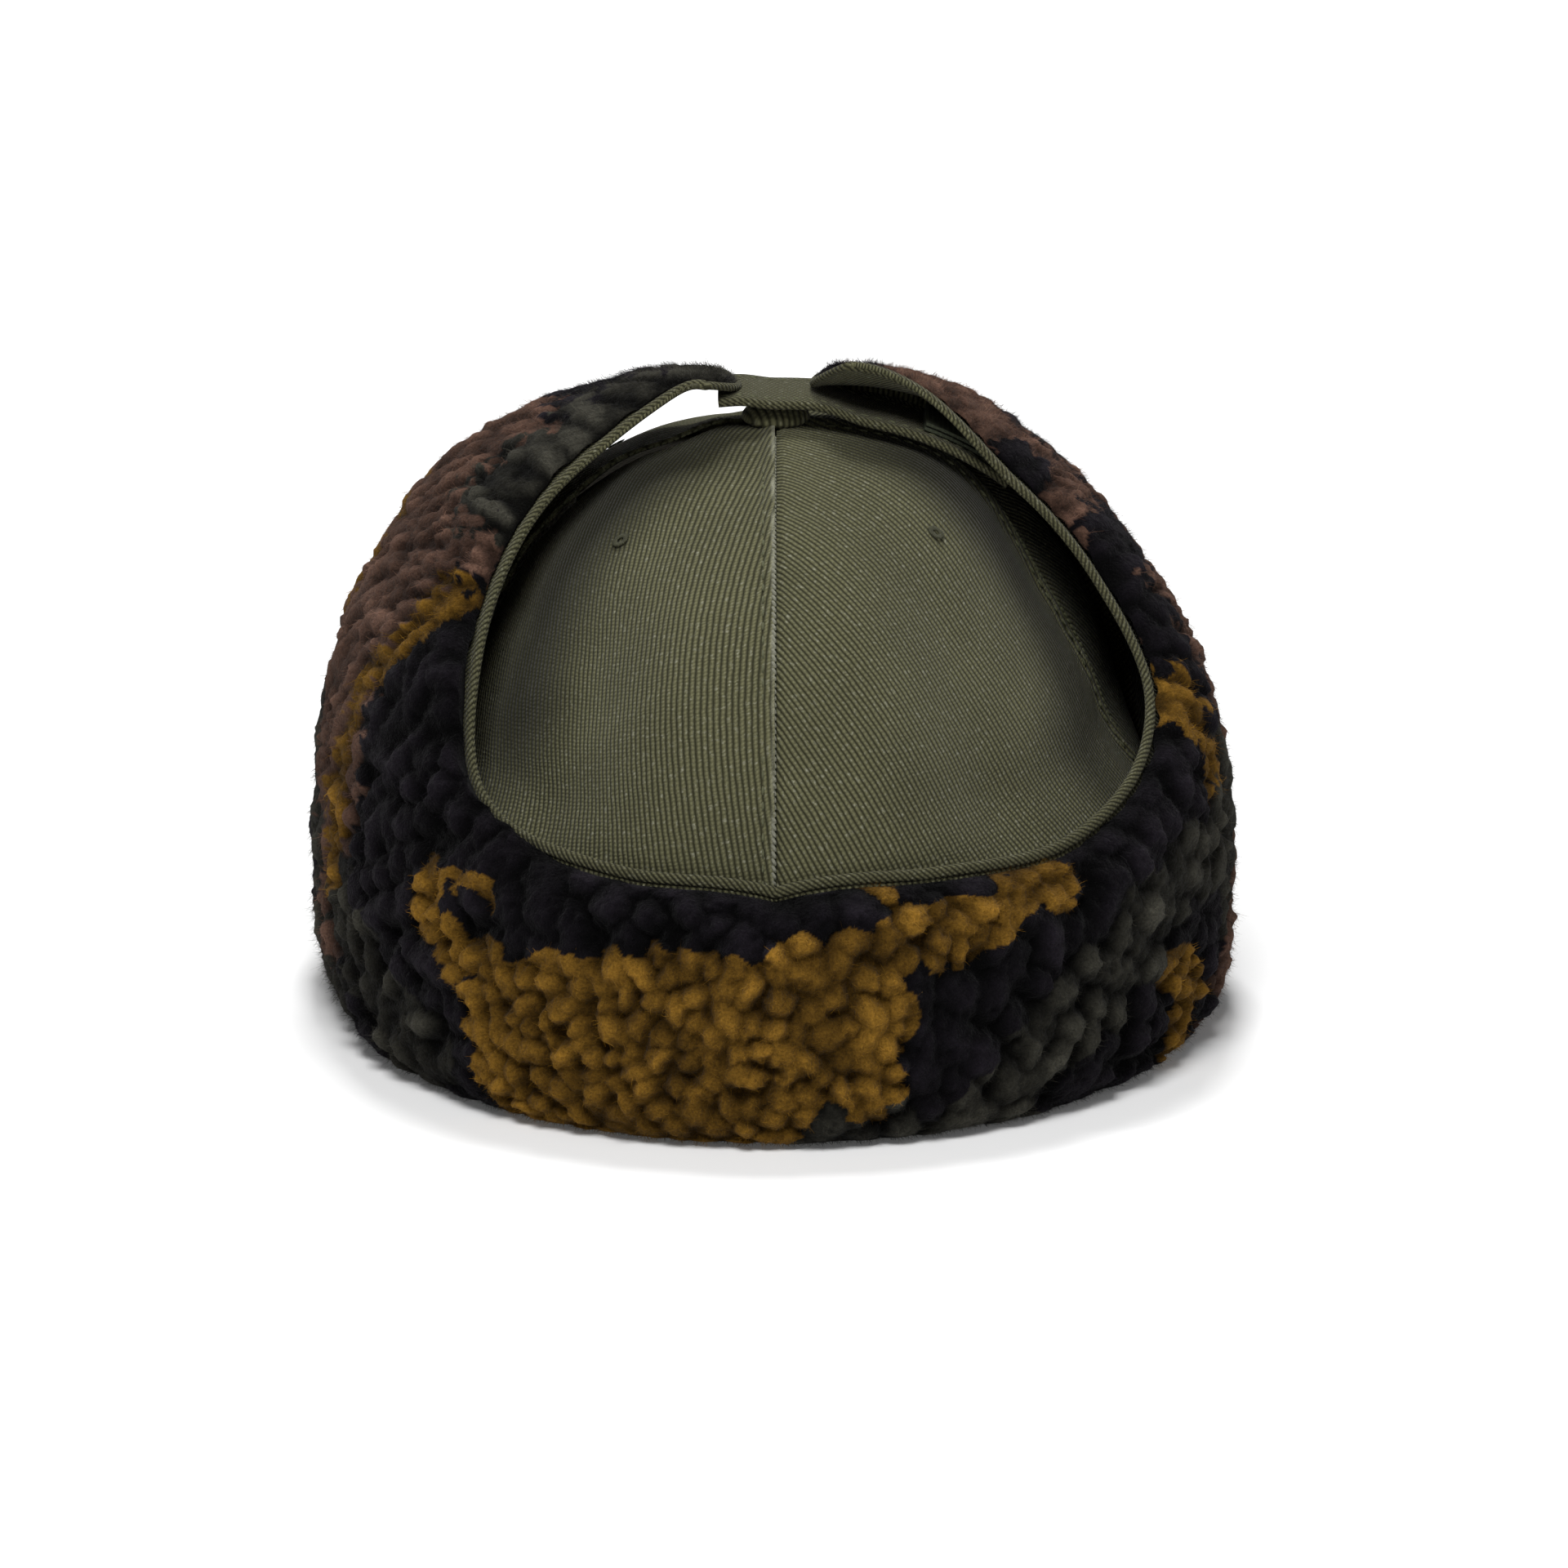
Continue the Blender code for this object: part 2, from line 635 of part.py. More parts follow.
def strap_lift(across):
    """The strap's underside over the crown: off the left tip, over the button, then low."""
    over_button = BUTTON_HEIGHT + 3 * CLEARANCE
    start = EAR_TIP_FROM_MIDDLE - EAR_TIP_ROUND
    if across > 0:
        return lerp(over_button, LEFT_TIP_LIFT - STRAP_THICKNESS / 2, smooth_step(across / start))
    past_button = (-across - BUTTON_RADIUS) / (2 * BUTTON_RADIUS)
    return lerp(over_button, STRAP_LOW, smooth_step(past_button))


def strap_sheet(start, end, width, low, high):
    """A piece of the strap's stack between two heights over the strap's underside."""
    def place(u, v, face):
        across = lerp(start, end, u)
        plan = Vector((across, (v - 0.5) * width))
        return over_crown(plan, strap_lift(across) + lerp(low, high, face))

    return place


def make_strap(hinge):
    """The strap on the left ear, and the hook patch on its upper face."""
    start = EAR_TIP_FROM_MIDDLE - EAR_TIP_ROUND - CLEARANCE
    strap = strap_sheet(start, STRAP_END, STRAP_WIDTH, 0.0, STRAP_THICKNESS)
    add_object("closure_strap", formed_sheet(18, 2, strap), TWILL, hinge)
    foot = STRAP_THICKNESS + CLEARANCE
    hook = strap_sheet(PATCH_START, PATCH_END, PATCH_WIDTH, foot, foot + PATCH_THICKNESS)
    add_object("hook_patch", formed_sheet(8, 2, hook), HOOK_TAPE, hinge)


def make_loop_patch(hinge):
    """The loop patch on the right ear's underside, over the hook patch."""
    foot = STRAP_THICKNESS + PATCH_THICKNESS + 2 * CLEARANCE
    loop = strap_sheet(PATCH_START, PATCH_END, PATCH_WIDTH, foot, foot + PATCH_THICKNESS)
    add_object("loop_patch", formed_sheet(8, 2, loop), HOOK_TAPE, hinge)


def main():
    for existing in list(bpy.data.objects):
        bpy.data.objects.remove(existing)

    names = ("back_left", "back_right", "front_right", "front_left")
    for number, name in enumerate(names):
        panel = make_panel(name + "_panel", number)
        make_eyelet(name + "_eyelet", number, panel)
    make_seam_tape("back_seam_tape", 90, STACK)
    make_seam_tape("right_seam_tape", 180, TAPE_FACE)
    make_seam_tape("front_seam_tape", 270, TAPE_FACE)
    make_seam_tape("left_seam_tape", 0, TAPE_FACE)
    make_buckram("front_right_buckram", 2)
    make_buckram("front_left_buckram", 3)
    make_sweatband()
    make_button()
    make_visor()
    make_seam_binding()
    left_hinge = make_hinge("left_ear_hinge", 1)
    right_hinge = make_hinge("right_ear_hinge", -1)
    make_cuff_layer(make_shell_sheet(), "shell", TWILL, left_hinge, right_hinge)
    make_cuff_layer(make_fleece_sheet(), "fleece", FLEECE, left_hinge, right_hinge)
    make_strap(left_hinge)
    make_loop_patch(right_hinge)


main()
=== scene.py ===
import math

import bmesh
import bpy
import numpy as np
from mathutils import Matrix, Vector, kdtree


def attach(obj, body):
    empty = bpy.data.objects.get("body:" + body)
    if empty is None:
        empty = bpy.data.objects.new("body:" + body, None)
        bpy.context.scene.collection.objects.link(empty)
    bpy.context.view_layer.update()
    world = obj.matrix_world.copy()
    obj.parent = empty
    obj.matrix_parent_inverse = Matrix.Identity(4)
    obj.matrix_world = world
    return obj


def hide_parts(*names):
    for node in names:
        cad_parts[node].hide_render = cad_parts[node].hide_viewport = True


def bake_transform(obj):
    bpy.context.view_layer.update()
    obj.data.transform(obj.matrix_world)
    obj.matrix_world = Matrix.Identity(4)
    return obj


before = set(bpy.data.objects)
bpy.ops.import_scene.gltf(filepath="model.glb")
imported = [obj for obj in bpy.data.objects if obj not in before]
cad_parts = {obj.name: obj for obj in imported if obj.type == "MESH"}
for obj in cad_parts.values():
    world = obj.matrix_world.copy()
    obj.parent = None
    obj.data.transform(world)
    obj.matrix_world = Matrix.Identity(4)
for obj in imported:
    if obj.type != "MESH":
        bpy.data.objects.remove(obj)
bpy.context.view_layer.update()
scene = bpy.context.scene
dice = np.random.default_rng(41)
tiny = 1e-9
mergeGap = 1e-6
probe = 0.001  # a short step, to find which way is out

# crown and cuff, with the CAD model's sizes in metres
crown = {
    "halfWidth": 0.0865, "halfLength": 0.105, "height": 0.126, "fullness": 2.35, "rim": 0.006, "steps": 600,
    "panelThickness": 0.001, "panelBulge": 0.0008, "seamGap": 0.0004, "gap": 0.0003,
}
cuff = {
    "rimGap": 0.0006, "floorGap": 0.0008, "backEdge": 0.055, "templeAngle": -27.0, "templeShare": 0.60,
    "neckShare": 0.30, "tipFromMiddle": 0.016, "tipHalfWidth": 0.013, "tipRound": 0.007,
    "frontBow": (0.070, -0.052), "frontRise": (0.0, 0.5), "tipRise": (0.75, 0.25), "shellThickness": 0.001,
}
# upper edge of each ear, fitted more closely than the solids: degrees, height over the back's edge, lift
leftEar = {
    "edge": (
        (90, -0.005, 0.0020), (70, -0.003, 0.0020), (52, 0.0, 0.0030), (40, 0.0085, 0.0042),
        (33, 0.032, 0.0056), (27, 0.058, 0.0066), (25, 0.080, 0.0074), (29, 0.100, 0.0082),
    ),
    "tipLift": 0.0074, "frontLift": 0.0078, "curl": 0.0060, "frontDrop": 0.0, "bulge": 0.0070,
}
rightEar = {
    "edge": (
        (90, -0.005, 0.0020), (68, -0.003, 0.0020), (48, -0.0035, 0.0045), (32, 0.004, 0.0085),
        (20, 0.018, 0.0095), (15, 0.042, 0.0068), (15, 0.068, 0.0064), (19, 0.090, 0.0072),
    ),
    "tipLift": 0.0080, "frontLift": 0.0080, "curl": 0.0105, "frontDrop": 0.0064, "bulge": 0.0,
}
# where an ear's forms begin or end along and across it, and over how much of it they ease
earForm = {
    "tip": (0.85, 0.15), "curl": (0.74, 0.24), "curlAcross": 0.55, "curlPower": 1.6,
    "drop": (0.60, 0.08), "dropAcross": (0.72, 0.87), "dropShift": (0.8, 0.1), "dropRun": 0.13,
    "archIn": (0.42, 0.2), "archOut": (0.92, 0.22), "archAcross": 0.5,
}
# the worn crown's cloth sinks in at the sides, between the band and the top, and dips left of the button
slump = {
    "sink": 0.0085, "turnIn": (13.0, 30), "turnOut": (115, 30), "topIn": (0.035, 0.05), "rimIn": (0.036, 0.03),
    "dip": 0.0030, "dipIn": (0.010, 0.018), "dipOut": (0.075, 0.03), "dipSide": (-0.24, 0.6),
}


def lerp(start, end, share):
    return start + (end - start) * share


def smooth(share):
    share = np.clip(share, 0.0, 1.0)
    return share * share * (3 - 2 * share)


# eases from 0 to 1 over a run from start, or from 1 to 0 over a run up to end
def rise(value, start, run):
    return smooth((value - start) / run)


def fall(value, end, run):
    return smooth((end - value) / run)


def unit(vectors):
    return vectors / np.maximum(np.linalg.norm(vectors, axis=-1, keepdims=True), tiny)


# length along a line at each of its points
def runAlong(line):
    return np.concatenate([[0], np.cumsum(np.linalg.norm(np.diff(line, axis=0), axis=1))])


meanRadius = (crown["halfWidth"] + crown["halfLength"]) / 2


# outline of the crown by length from its top
def crownOutline():
    turn = np.linspace(0.0, math.pi / 2, crown["steps"])
    radius = np.sin(turn) ** (2 / crown["fullness"])
    height = np.cos(turn) ** (2 / crown["fullness"])
    step = np.hypot(np.diff(radius) * meanRadius, np.diff(height) * crown["height"])
    return np.concatenate([[0.0], np.cumsum(step)]), radius, height


outlineLength, outlineRadius, outlineHeight = crownOutline()
outlineTurn = np.arctan2(outlineRadius, outlineHeight)
crownLength = float(outlineLength[-1])
cuffBottom = crownLength + crown["rim"] - cuff["floorGap"]


def radiusAt(length):
    return np.interp(length, outlineLength, outlineRadius) * meanRadius


def crownNormal(angle, length):
    radius = np.interp(length, outlineLength, outlineRadius)
    high = np.interp(length, outlineLength, outlineHeight)
    steep = np.maximum(radius, tiny) ** (crown["fullness"] - 2)
    return unit(np.stack([
        np.cos(angle) * radius * steep / crown["halfWidth"],
        np.sin(angle) * radius * steep / crown["halfLength"],
        high ** (crown["fullness"] - 1) / crown["height"],
    ], axis=-1))


def crownPoint(angle, length, lift):
    angle, length, lift = np.broadcast_arrays(
        np.asarray(angle, float), np.asarray(length, float), np.asarray(lift, float))
    radius = np.interp(length, outlineLength, outlineRadius)
    high = np.interp(length, outlineLength, outlineHeight)
    point = np.stack([
        crown["halfWidth"] * np.cos(angle) * radius,
        crown["halfLength"] * np.sin(angle) * radius,
        crown["rim"] + crown["height"] * high - np.maximum(0.0, length - crownLength),
    ], axis=-1)
    return point + crownNormal(angle, length) * lift[..., None]


# a point on the worn crown's cloth
def clothPoint(angle, length, lift):
    fromBack = np.abs(90 - np.degrees(np.mod(angle + math.pi / 2, math.tau) - math.pi / 2))
    turn = rise(fromBack, *slump["turnIn"]) * fall(fromBack, *slump["turnOut"])
    down = rise(length, *slump["topIn"]) * rise(crownLength - length, *slump["rimIn"])
    dip = rise(length, *slump["dipIn"]) * fall(length, *slump["dipOut"])
    dip = dip * rise(np.cos(angle), *slump["dipSide"])
    return crownPoint(angle, length, lift - slump["sink"] * turn * down - slump["dip"] * dip)


def overCrown(plan, lift):
    return crownPoint(np.arctan2(plan[..., 1], plan[..., 0]), np.hypot(plan[..., 0], plan[..., 1]), lift)


# a smooth curve through every station
def curveThrough(stations, share):
    last = len(stations) - 1
    place = np.clip(share, 0, 1) * last
    first = np.minimum(place.astype(int), last - 1)
    part = (place - first)[:, None]
    a, b = stations[np.maximum(first - 1, 0)], stations[first]
    c, d = stations[first + 1], stations[np.minimum(first + 2, last)]
    return 0.5 * (2 * b + (c - a) * part + (2 * a - 5 * b + 4 * c - d) * part ** 2
                  + (3 * b - a - 3 * c + d) * part ** 3)


def polar(degrees, length):
    angle = np.radians(degrees)
    return np.stack([np.cos(angle) * length, np.sin(angle) * length], axis=-1)


# upper and lower edges of the cuff: along -1 is the right ear's tip, 0 the back, 1 the left ear's tip
def cuffEdges(along):
    along = np.asarray(along, float)
    upper, lower = np.zeros((len(along), 3)), np.zeros((len(along), 3))
    temple = polar(cuff["templeAngle"], cuffBottom)
    tip = np.array([cuff["tipFromMiddle"], -cuff["tipHalfWidth"]])
    for side, ear in ((1, leftEar), (-1, rightEar)):
        mine = along >= 0 if side > 0 else along < 0
        share = np.abs(along[mine])
        stations = [(*polar(degrees, crownLength - (cuff["backEdge"] + high)), lift)
                    for degrees, high, lift in ear["edge"]]
        stations.append((cuff["tipFromMiddle"], cuff["tipHalfWidth"], ear["tipLift"]))
        upper[mine] = curveThrough(np.array(stations), share)
        rim = polar(lerp(90, cuff["templeAngle"], np.minimum(share / cuff["templeShare"], 1)), cuffBottom)
        up = np.clip((share - cuff["templeShare"]) / (1 - cuff["templeShare"]), 0, 1)[:, None]
        front = temple * (1 - up) ** 2 + np.array(cuff["frontBow"]) * 2 * up * (1 - up) + tip * up ** 2
        lower[mine, :2] = np.where(up > 0, front, rim)
        lift = lerp(cuff["rimGap"], ear["frontLift"], rise(up[:, 0], *cuff["frontRise"]))
        lower[mine, 2] = lerp(lift, ear["tipLift"], rise(up[:, 0], *cuff["tipRise"]))
        upper[mine, 0] *= side
        lower[mine, 0] *= side
    return upper, lower


# a point on the cuff: share across it between its edges, height over its inner face
def cuffPoint(along, share, height, inset=0.0, outset=0.0):
    upper, lower = cuffEdges(along)
    width = np.linalg.norm(lower[:, :2] - upper[:, :2], axis=1)
    across = lerp(inset / width, 1 - outset / width, share)
    both = lerp(upper, lower, across[:, None])
    reach = np.abs(along)
    tip = rise(reach, *earForm["tip"]) * np.where(along >= 0, 1, -1)
    both[:, 0] -= cuff["tipRound"] * tip * (1 - (2 * across - 1) ** 2)
    upward = np.clip(1 - across / earForm["curlAcross"], 0, 1) ** earForm["curlPower"]
    dropEdge = lerp(*earForm["dropAcross"], rise(reach, *earForm["dropShift"]))
    drop = rise(reach, *earForm["drop"]) * rise(across, dropEdge, earForm["dropRun"])
    arch = rise(reach, *earForm["archIn"]) * fall(reach, *earForm["archOut"])
    arch = arch * smooth(across / earForm["archAcross"])
    for ear, mine in ((leftEar, along >= 0), (rightEar, along < 0)):
        curl = ear["curl"] * rise(reach, *earForm["curl"]) * upward
        both[:, 2] += np.where(mine, curl - ear["frontDrop"] * drop + ear["bulge"] * arch, 0)
    return overCrown(both[:, :2], both[:, 2] + height)


def cuffWidth(along):
    upper, lower = cuffEdges(along)
    return np.linalg.norm(lower[:, :2] - upper[:, :2], axis=1)


# whole numbers that scramble a grid place
scramble = {
    "axes": (73856093, 19349663, 83492791), "seed": 2654435761, "rounds": ((13, 1274126177), (15, 2246822519)),
    "mask": 0x7FFFFFFF, "levels": 65536,
}


# smooth random values from -1 to 1 at points, with lumps of the given size
def lumps(at, size, seed):
    grid = np.floor(at / size).astype(np.int64)
    part = smooth(at / size - grid)
    total = np.zeros(len(at))
    for corner in range(8):
        step = np.array([corner & 1, corner >> 1 & 1, corner >> 2 & 1])
        x, y, z = ((grid + step) * np.array(scramble["axes"])).T
        mixed = x ^ y ^ z ^ seed * scramble["seed"]
        for shift, factor in scramble["rounds"]:
            mixed = (mixed ^ mixed >> shift) * factor & scramble["mask"]
        weight = np.prod(np.where(step, part, 1 - part), axis=1)
        total += weight * (mixed % scramble["levels"] / ((scramble["levels"] - 1) / 2) - 1)
    return total


# lumps laid over each other, as (height, size, seed)
def layered(at, layers, seed=0):
    return sum(height * lumps(at, size, first + seed) for height, size, first in layers)


# one wire in a material's tree; sums and products of wires add Math nodes
class Wire:
    def __init__(self, tree, socket=None):
        self.tree = tree
        self.socket = socket

    def node(self, kind, settings=None, links=None, out=0):
        made = self.tree.nodes.new(kind)
        for key, value in (settings or {}).items():
            setattr(made, key, value)
        for key, value in (links or {}).items():
            if isinstance(value, Wire):
                value.into(made, key)
            else:
                made.inputs[key].default_value = value
        return Wire(self.tree, made.outputs[out])

    def into(self, node, key):
        self.tree.links.new(self.socket, node.inputs[key])

    def math(self, operation, first, second=0.0, clamp=False):
        return self.node("ShaderNodeMath", {"operation": operation, "use_clamp": clamp}, {0: first, 1: second})

    def __add__(self, other):
        return self.math("ADD", self, other)

    def __sub__(self, other):
        return self.math("SUBTRACT", self, other)

    def __mul__(self, other):
        return self.math("MULTIPLY", self, other)

    def __rsub__(self, other):
        return self.math("SUBTRACT", other, self)

    def __pow__(self, other):
        return self.math("POWER", self, other)

    __radd__ = __add__
    __rmul__ = __mul__

    # a sine from 0 to 1, one wave for each whole number
    def wave(self):
        return self.math("SINE", self * math.tau) * 0.5 + 0.5

    def clipped(self, low, high):
        return self.node("ShaderNodeMapRange", {"interpolation_type": "SMOOTHSTEP"},
                         {"Value": self, "From Min": low, "From Max": high})

    def mix(self, first, second):
        return self.node("ShaderNodeMix", {"data_type": "RGBA"}, {0: self, 6: first, 7: second}, 2)

    def noise(self, where, scale, detail=2.0, roughness=0.5):
        return self.node("ShaderNodeTexNoise", {}, {
            "Vector": where, "Scale": scale, "Detail": detail, "Roughness": roughness})

    def attribute(self, name, out=2):  # its value, or its colour at out 0
        return self.node("ShaderNodeAttribute", {"attribute_name": name}, {}, out)

    def place(self):  # Object coordinates
        return self.node("ShaderNodeTexCoord", {}, {}, 3)

    # the cloth's own map, and its two parts
    def cloth(self):
        made = self.node("ShaderNodeUVMap", {"uv_map": "cloth"})
        right = self.node("ShaderNodeSeparateXYZ", {}, {0: made})
        return made, right, Wire(self.tree, right.socket.node.outputs[1])


def rgba(colour, share=1.0):
    return (*(channel * share for channel in colour), 1.0)


def newMaterial(name, constants):
    made = bpy.data.materials.new(name)
    made.use_nodes = True
    shader = made.node_tree.nodes["Principled BSDF"]
    for key, value in constants.items():
        shader.inputs[key].default_value = value
    return made, shader, Wire(made.node_tree)


def addBump(wire, shader, height, strength, distance):
    bump = wire.node("ShaderNodeBump", {}, {"Height": height, "Strength": strength, "Distance": distance})
    bump.into(shader, "Normal")


# twill: leaning ribs of short floats, painted lighter on their crests and darker between them as painted
# shade, and pale flecks of worn yarn; pieces say where it is worn, and where painted shade darkens it beside
# the ears
def twillMaterial(name, look):
    made, shader, wire = newMaterial(name, {
        "Sheen Weight": 0.04, "Sheen Roughness": 0.4, "Specular IOR Level": 0.1})
    cloth, right, up = wire.cloth()
    lean = math.radians(look["lean"])
    wobble = wire.noise(cloth, look["wobbleScale"]) - 0.5
    across = (right * math.cos(lean) + up * math.sin(lean)) * (1 / look["pitch"]) + wobble * 0.35
    down = (up * math.cos(lean) - right * math.sin(lean)) * (1 / look["floatLength"])
    stagger = wire.math("FLOOR", across + 0.25) * look["stagger"]
    floats = (down + stagger + wobble * 1.4).wave()
    weave = (across.wave() ** 0.8) * (floats * 0.38 + 0.62)
    fibres = wire.noise(cloth, look["fibreScale"], 3.0)
    fleck = wire.noise(cloth, look["fleckScale"], 2.0, 0.7).clipped(0.54, 0.72) * weave
    broad = wire.noise(cloth, look["broadScale"], 3.0)
    # painted shade: the ribs and floats are painted lighter on their crests and darker between them, following
    # the same weave that drives the bump
    shade = (weave * 1.20 + 0.14) * (broad * 0.6 + 0.7) * (fibres * 1.0 + 0.5)
    dark, light = rgba(look["colour"], 0.10), rgba(look["colour"], 1.55)
    body = wire.math("MULTIPLY", shade, 0.8, True).mix(dark, light)
    flecked = (fleck * look["fleck"]).mix(body, rgba(look["worn"]))
    wear = wire.attribute("wear") * (fibres * 1.2 + 0.2)
    colour = wear.clipped(0.05, 0.95).mix(flecked, rgba(look["worn"]))
    # painted shade: the kept value darkens the twill beside the ears, where the ears shade it
    (wire.attribute("kept") * look["kept"]).mix(colour, dark).into(shader, "Base Color")
    (0.95 - weave * 0.14).into(shader, "Roughness")
    addBump(wire, shader, weave + fibres * 0.35, look["bump"], 0.0005)
    return made


# fleece: the piece's own colours, broken up by its fibres
def fleeceMaterial(name, bumpy):
    made, shader, wire = newMaterial(name, {
        "Sheen Weight": 0.02, "Sheen Roughness": 0.5, "Specular IOR Level": 0.04})
    where = wire.place()
    strands = wire.noise(where, 1500.0, 3.0, 0.6)
    patch = wire.noise(where, 160.0, 2.0)
    shade = (strands * 1.7 + 0.15) * (patch * 0.6 + 0.7)
    ink = wire.attribute("ink", 0)
    wire.node("ShaderNodeVectorMath", {"operation": "SCALE"}, {0: ink, 3: shade}).into(shader, "Base Color")
    (0.98 - strands * 0.1).into(shader, "Roughness")
    if bumpy:
        addBump(wire, shader, strands + patch * 0.6, 0.7, 0.0012)
    return made


# woven tape, band or stiffener: two crossing sets of yarn
def wovenMaterial(name, colour, pitch, weftShare, warp):
    made, shader, wire = newMaterial(name, {"Sheen Weight": 0.02, "Specular IOR Level": 0.15})
    cloth, right, up = wire.cloth()
    weave = wire.math("MAXIMUM", (right * (1 / pitch)).wave() * warp, (up * (weftShare / pitch)).wave())
    worn = wire.noise(cloth, 120.0, 3.0)
    shade = (weave * 0.7 + 0.3) * (worn * 0.6 + 0.6)
    shade.mix(rgba(colour, 0.4), rgba(colour, 1.25)).into(shader, "Base Color")
    (0.92 - weave * 0.2).into(shader, "Roughness")
    addBump(wire, shader, weave, 0.6, 0.0004)
    return made


# thread, board or steel: one colour with a fine grain
def grainMaterial(name, colour, look):
    made, shader, wire = newMaterial(name, look["constants"])
    grain = wire.noise(wire.place(), look["scale"], look["detail"])
    grain.mix(rgba(colour, look["dark"]), rgba(colour, look["light"])).into(shader, "Base Color")
    (grain * look["uneven"] + look["roughness"]).into(shader, "Roughness")
    addBump(wire, shader, grain, look["bump"], 0.0002)
    return made


# kept: how dark the painted shade beside the ears is
twillLook = {
    "colour": (0.080, 0.078, 0.041), "worn": (0.24, 0.24, 0.18), "pitch": 0.00140, "floatLength": 0.00095,
    "lean": 22.0, "stagger": 0.37, "fleck": 0.8, "kept": 0.9, "bump": 0.75,
    "wobbleScale": 260.0, "fibreScale": 2600.0, "fleckScale": 700.0, "broadScale": 38.0,
}
# the strap and the cuff's edge roll: steeper, finer ribs, in a darker copy of the twill whose darkness is
# painted shade
strapLookPaintedShade = {**twillLook, "lean": 45.0, "fleck": 0.5, "pitch": 0.0010, "colour": (0.060, 0.058, 0.031)}
threadLook = {
    "constants": {"Sheen Weight": 0.03, "Specular IOR Level": 0.15}, "scale": 2200.0, "detail": 2.0,
    "dark": 0.6, "light": 1.3, "roughness": 0.55, "uneven": 0.3, "bump": 0.5,
}
boardLook = {
    "constants": {"Metallic": 0.0}, "scale": 700.0, "detail": 3.0,
    "dark": 0.8, "light": 1.15, "roughness": 0.38, "uneven": 0.25, "bump": 0.15,
}
steelLook = {**boardLook, "constants": {"Metallic": 1.0}, "roughness": 0.28}
materials = {
    "twill": twillMaterial("oliveTwill", twillLook),
    "strapTwillPaintedShade": twillMaterial("strapTwillPaintedShade", strapLookPaintedShade),
    "fleece": fleeceMaterial("camoFleece", True),
    "fuzz": fleeceMaterial("camoFuzz", False),
    "tape": wovenMaterial("seamTape", (0.05, 0.053, 0.034), 0.0011, 1.0, 0.7),
    "band": wovenMaterial("sweatbandCloth", (0.06, 0.063, 0.04), 0.0008, 1.4, 0.9),
    "buckram": wovenMaterial("buckram", (0.55, 0.53, 0.45), 0.0016, 1.0, 1.0),
    "hook": wovenMaterial("hookTape", (0.035, 0.04, 0.025), 0.0012, 1.0, 0.8),
    "eyelet": grainMaterial("eyeletThread", (0.034, 0.034, 0.018), threadLook),
    "thread": grainMaterial("oliveThread", (0.080, 0.083, 0.045), threadLook),
    "paleThread": grainMaterial("wornThread", (0.17, 0.17, 0.13), threadLook),
    "board": grainMaterial("visorBoard", (0.10, 0.10, 0.10), boardLook),
    "steel": grainMaterial("rivetSteel", (0.55, 0.55, 0.55), steelLook),
}
print("materials", len(materials))


def toMesh(bm, name):
    mesh = bpy.data.meshes.new(name)
    bm.to_mesh(mesh)
    bm.free()
    return mesh


# a grid mesh whose points run from 0 to 1 across and along; a second face lies at height 1
def gridMesh(name, columns, rows, twoFaces=False):
    bm = bmesh.new()
    bmesh.ops.create_grid(bm, x_segments=columns, y_segments=rows, size=0.5)
    if twoFaces:
        second = bmesh.ops.extrude_face_region(bm, geom=bm.faces[:], use_keep_orig=True)
        raised = [item for item in second["geom"] if isinstance(item, bmesh.types.BMVert)]
        bmesh.ops.translate(bm, verts=raised, vec=(0, 0, 1))
    bmesh.ops.translate(bm, verts=bm.verts[:], vec=(0.5, 0.5, 0))
    return toMesh(bm, name)


def points(mesh):
    found = np.empty(len(mesh.vertices) * 3)
    mesh.vertices.foreach_get("co", found)
    return found.reshape(-1, 3)


def setPoints(mesh, places):
    mesh.vertices.foreach_set("co", np.ascontiguousarray(places, float).ravel())
    mesh.update()


# the cloth's own map, in metres, so that a weave keeps its scale
def setCloth(mesh, right, up):
    corners = np.empty(len(mesh.loops), np.int32)
    mesh.loops.foreach_get("vertex_index", corners)
    layer = mesh.uv_layers.new(name="cloth")
    layer.data.foreach_set("uv", np.stack([right[corners], up[corners]], axis=1).ravel())


def setValue(mesh, name, values):
    made = mesh.attributes.new(name, "FLOAT", "POINT")
    made.data.foreach_set("value", np.asarray(values, np.float32))


def setColour(mesh, name, colours):
    made = mesh.attributes.new(name, "FLOAT_COLOR", "POINT")
    opaque = np.column_stack([colours, np.ones(len(colours))])
    made.data.foreach_set("color", opaque.astype(np.float32).ravel())


# makes a formed mesh an object, faces outward; merge closes it first: doubles merged, open ends filled
def finishPiece(mesh, material, merge=True):
    bm = bmesh.new()
    bm.from_mesh(mesh)
    if merge:
        bmesh.ops.remove_doubles(bm, verts=bm.verts[:], dist=mergeGap)
        bmesh.ops.holes_fill(bm, edges=[edge for edge in bm.edges if edge.is_boundary])
    bmesh.ops.recalc_face_normals(bm, faces=bm.faces[:])
    if merge and bm.calc_volume(signed=True) < 0:
        bmesh.ops.reverse_faces(bm, faces=bm.faces[:])
    bm.to_mesh(mesh)
    bm.free()
    mesh.shade_smooth()
    mesh.materials.append(materials[material])
    made = bpy.data.objects.new(mesh.name, mesh)
    scene.collection.objects.link(made)
    return made


# reads a cloth piece's flat map and does nothing more with it
def declareSheet(piece):
    corners = np.empty(len(piece.data.loops) * 2)
    piece.data.uv_layers["cloth"].data.foreach_get("uv", corners)


# puts a piece on the crown in a node's place
def onCrown(piece, node):
    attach(piece, "crown")
    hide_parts(node)


# two-faced sheet whose points form(u, v, face) puts in place, with its flat map
def sheetPiece(name, grid, form, material):
    mesh = gridMesh(name, *grid, True)
    places, right, up = form(*points(mesh).T)
    setPoints(mesh, places)
    setCloth(mesh, right, up)
    return finishPiece(mesh, material, merge=False)


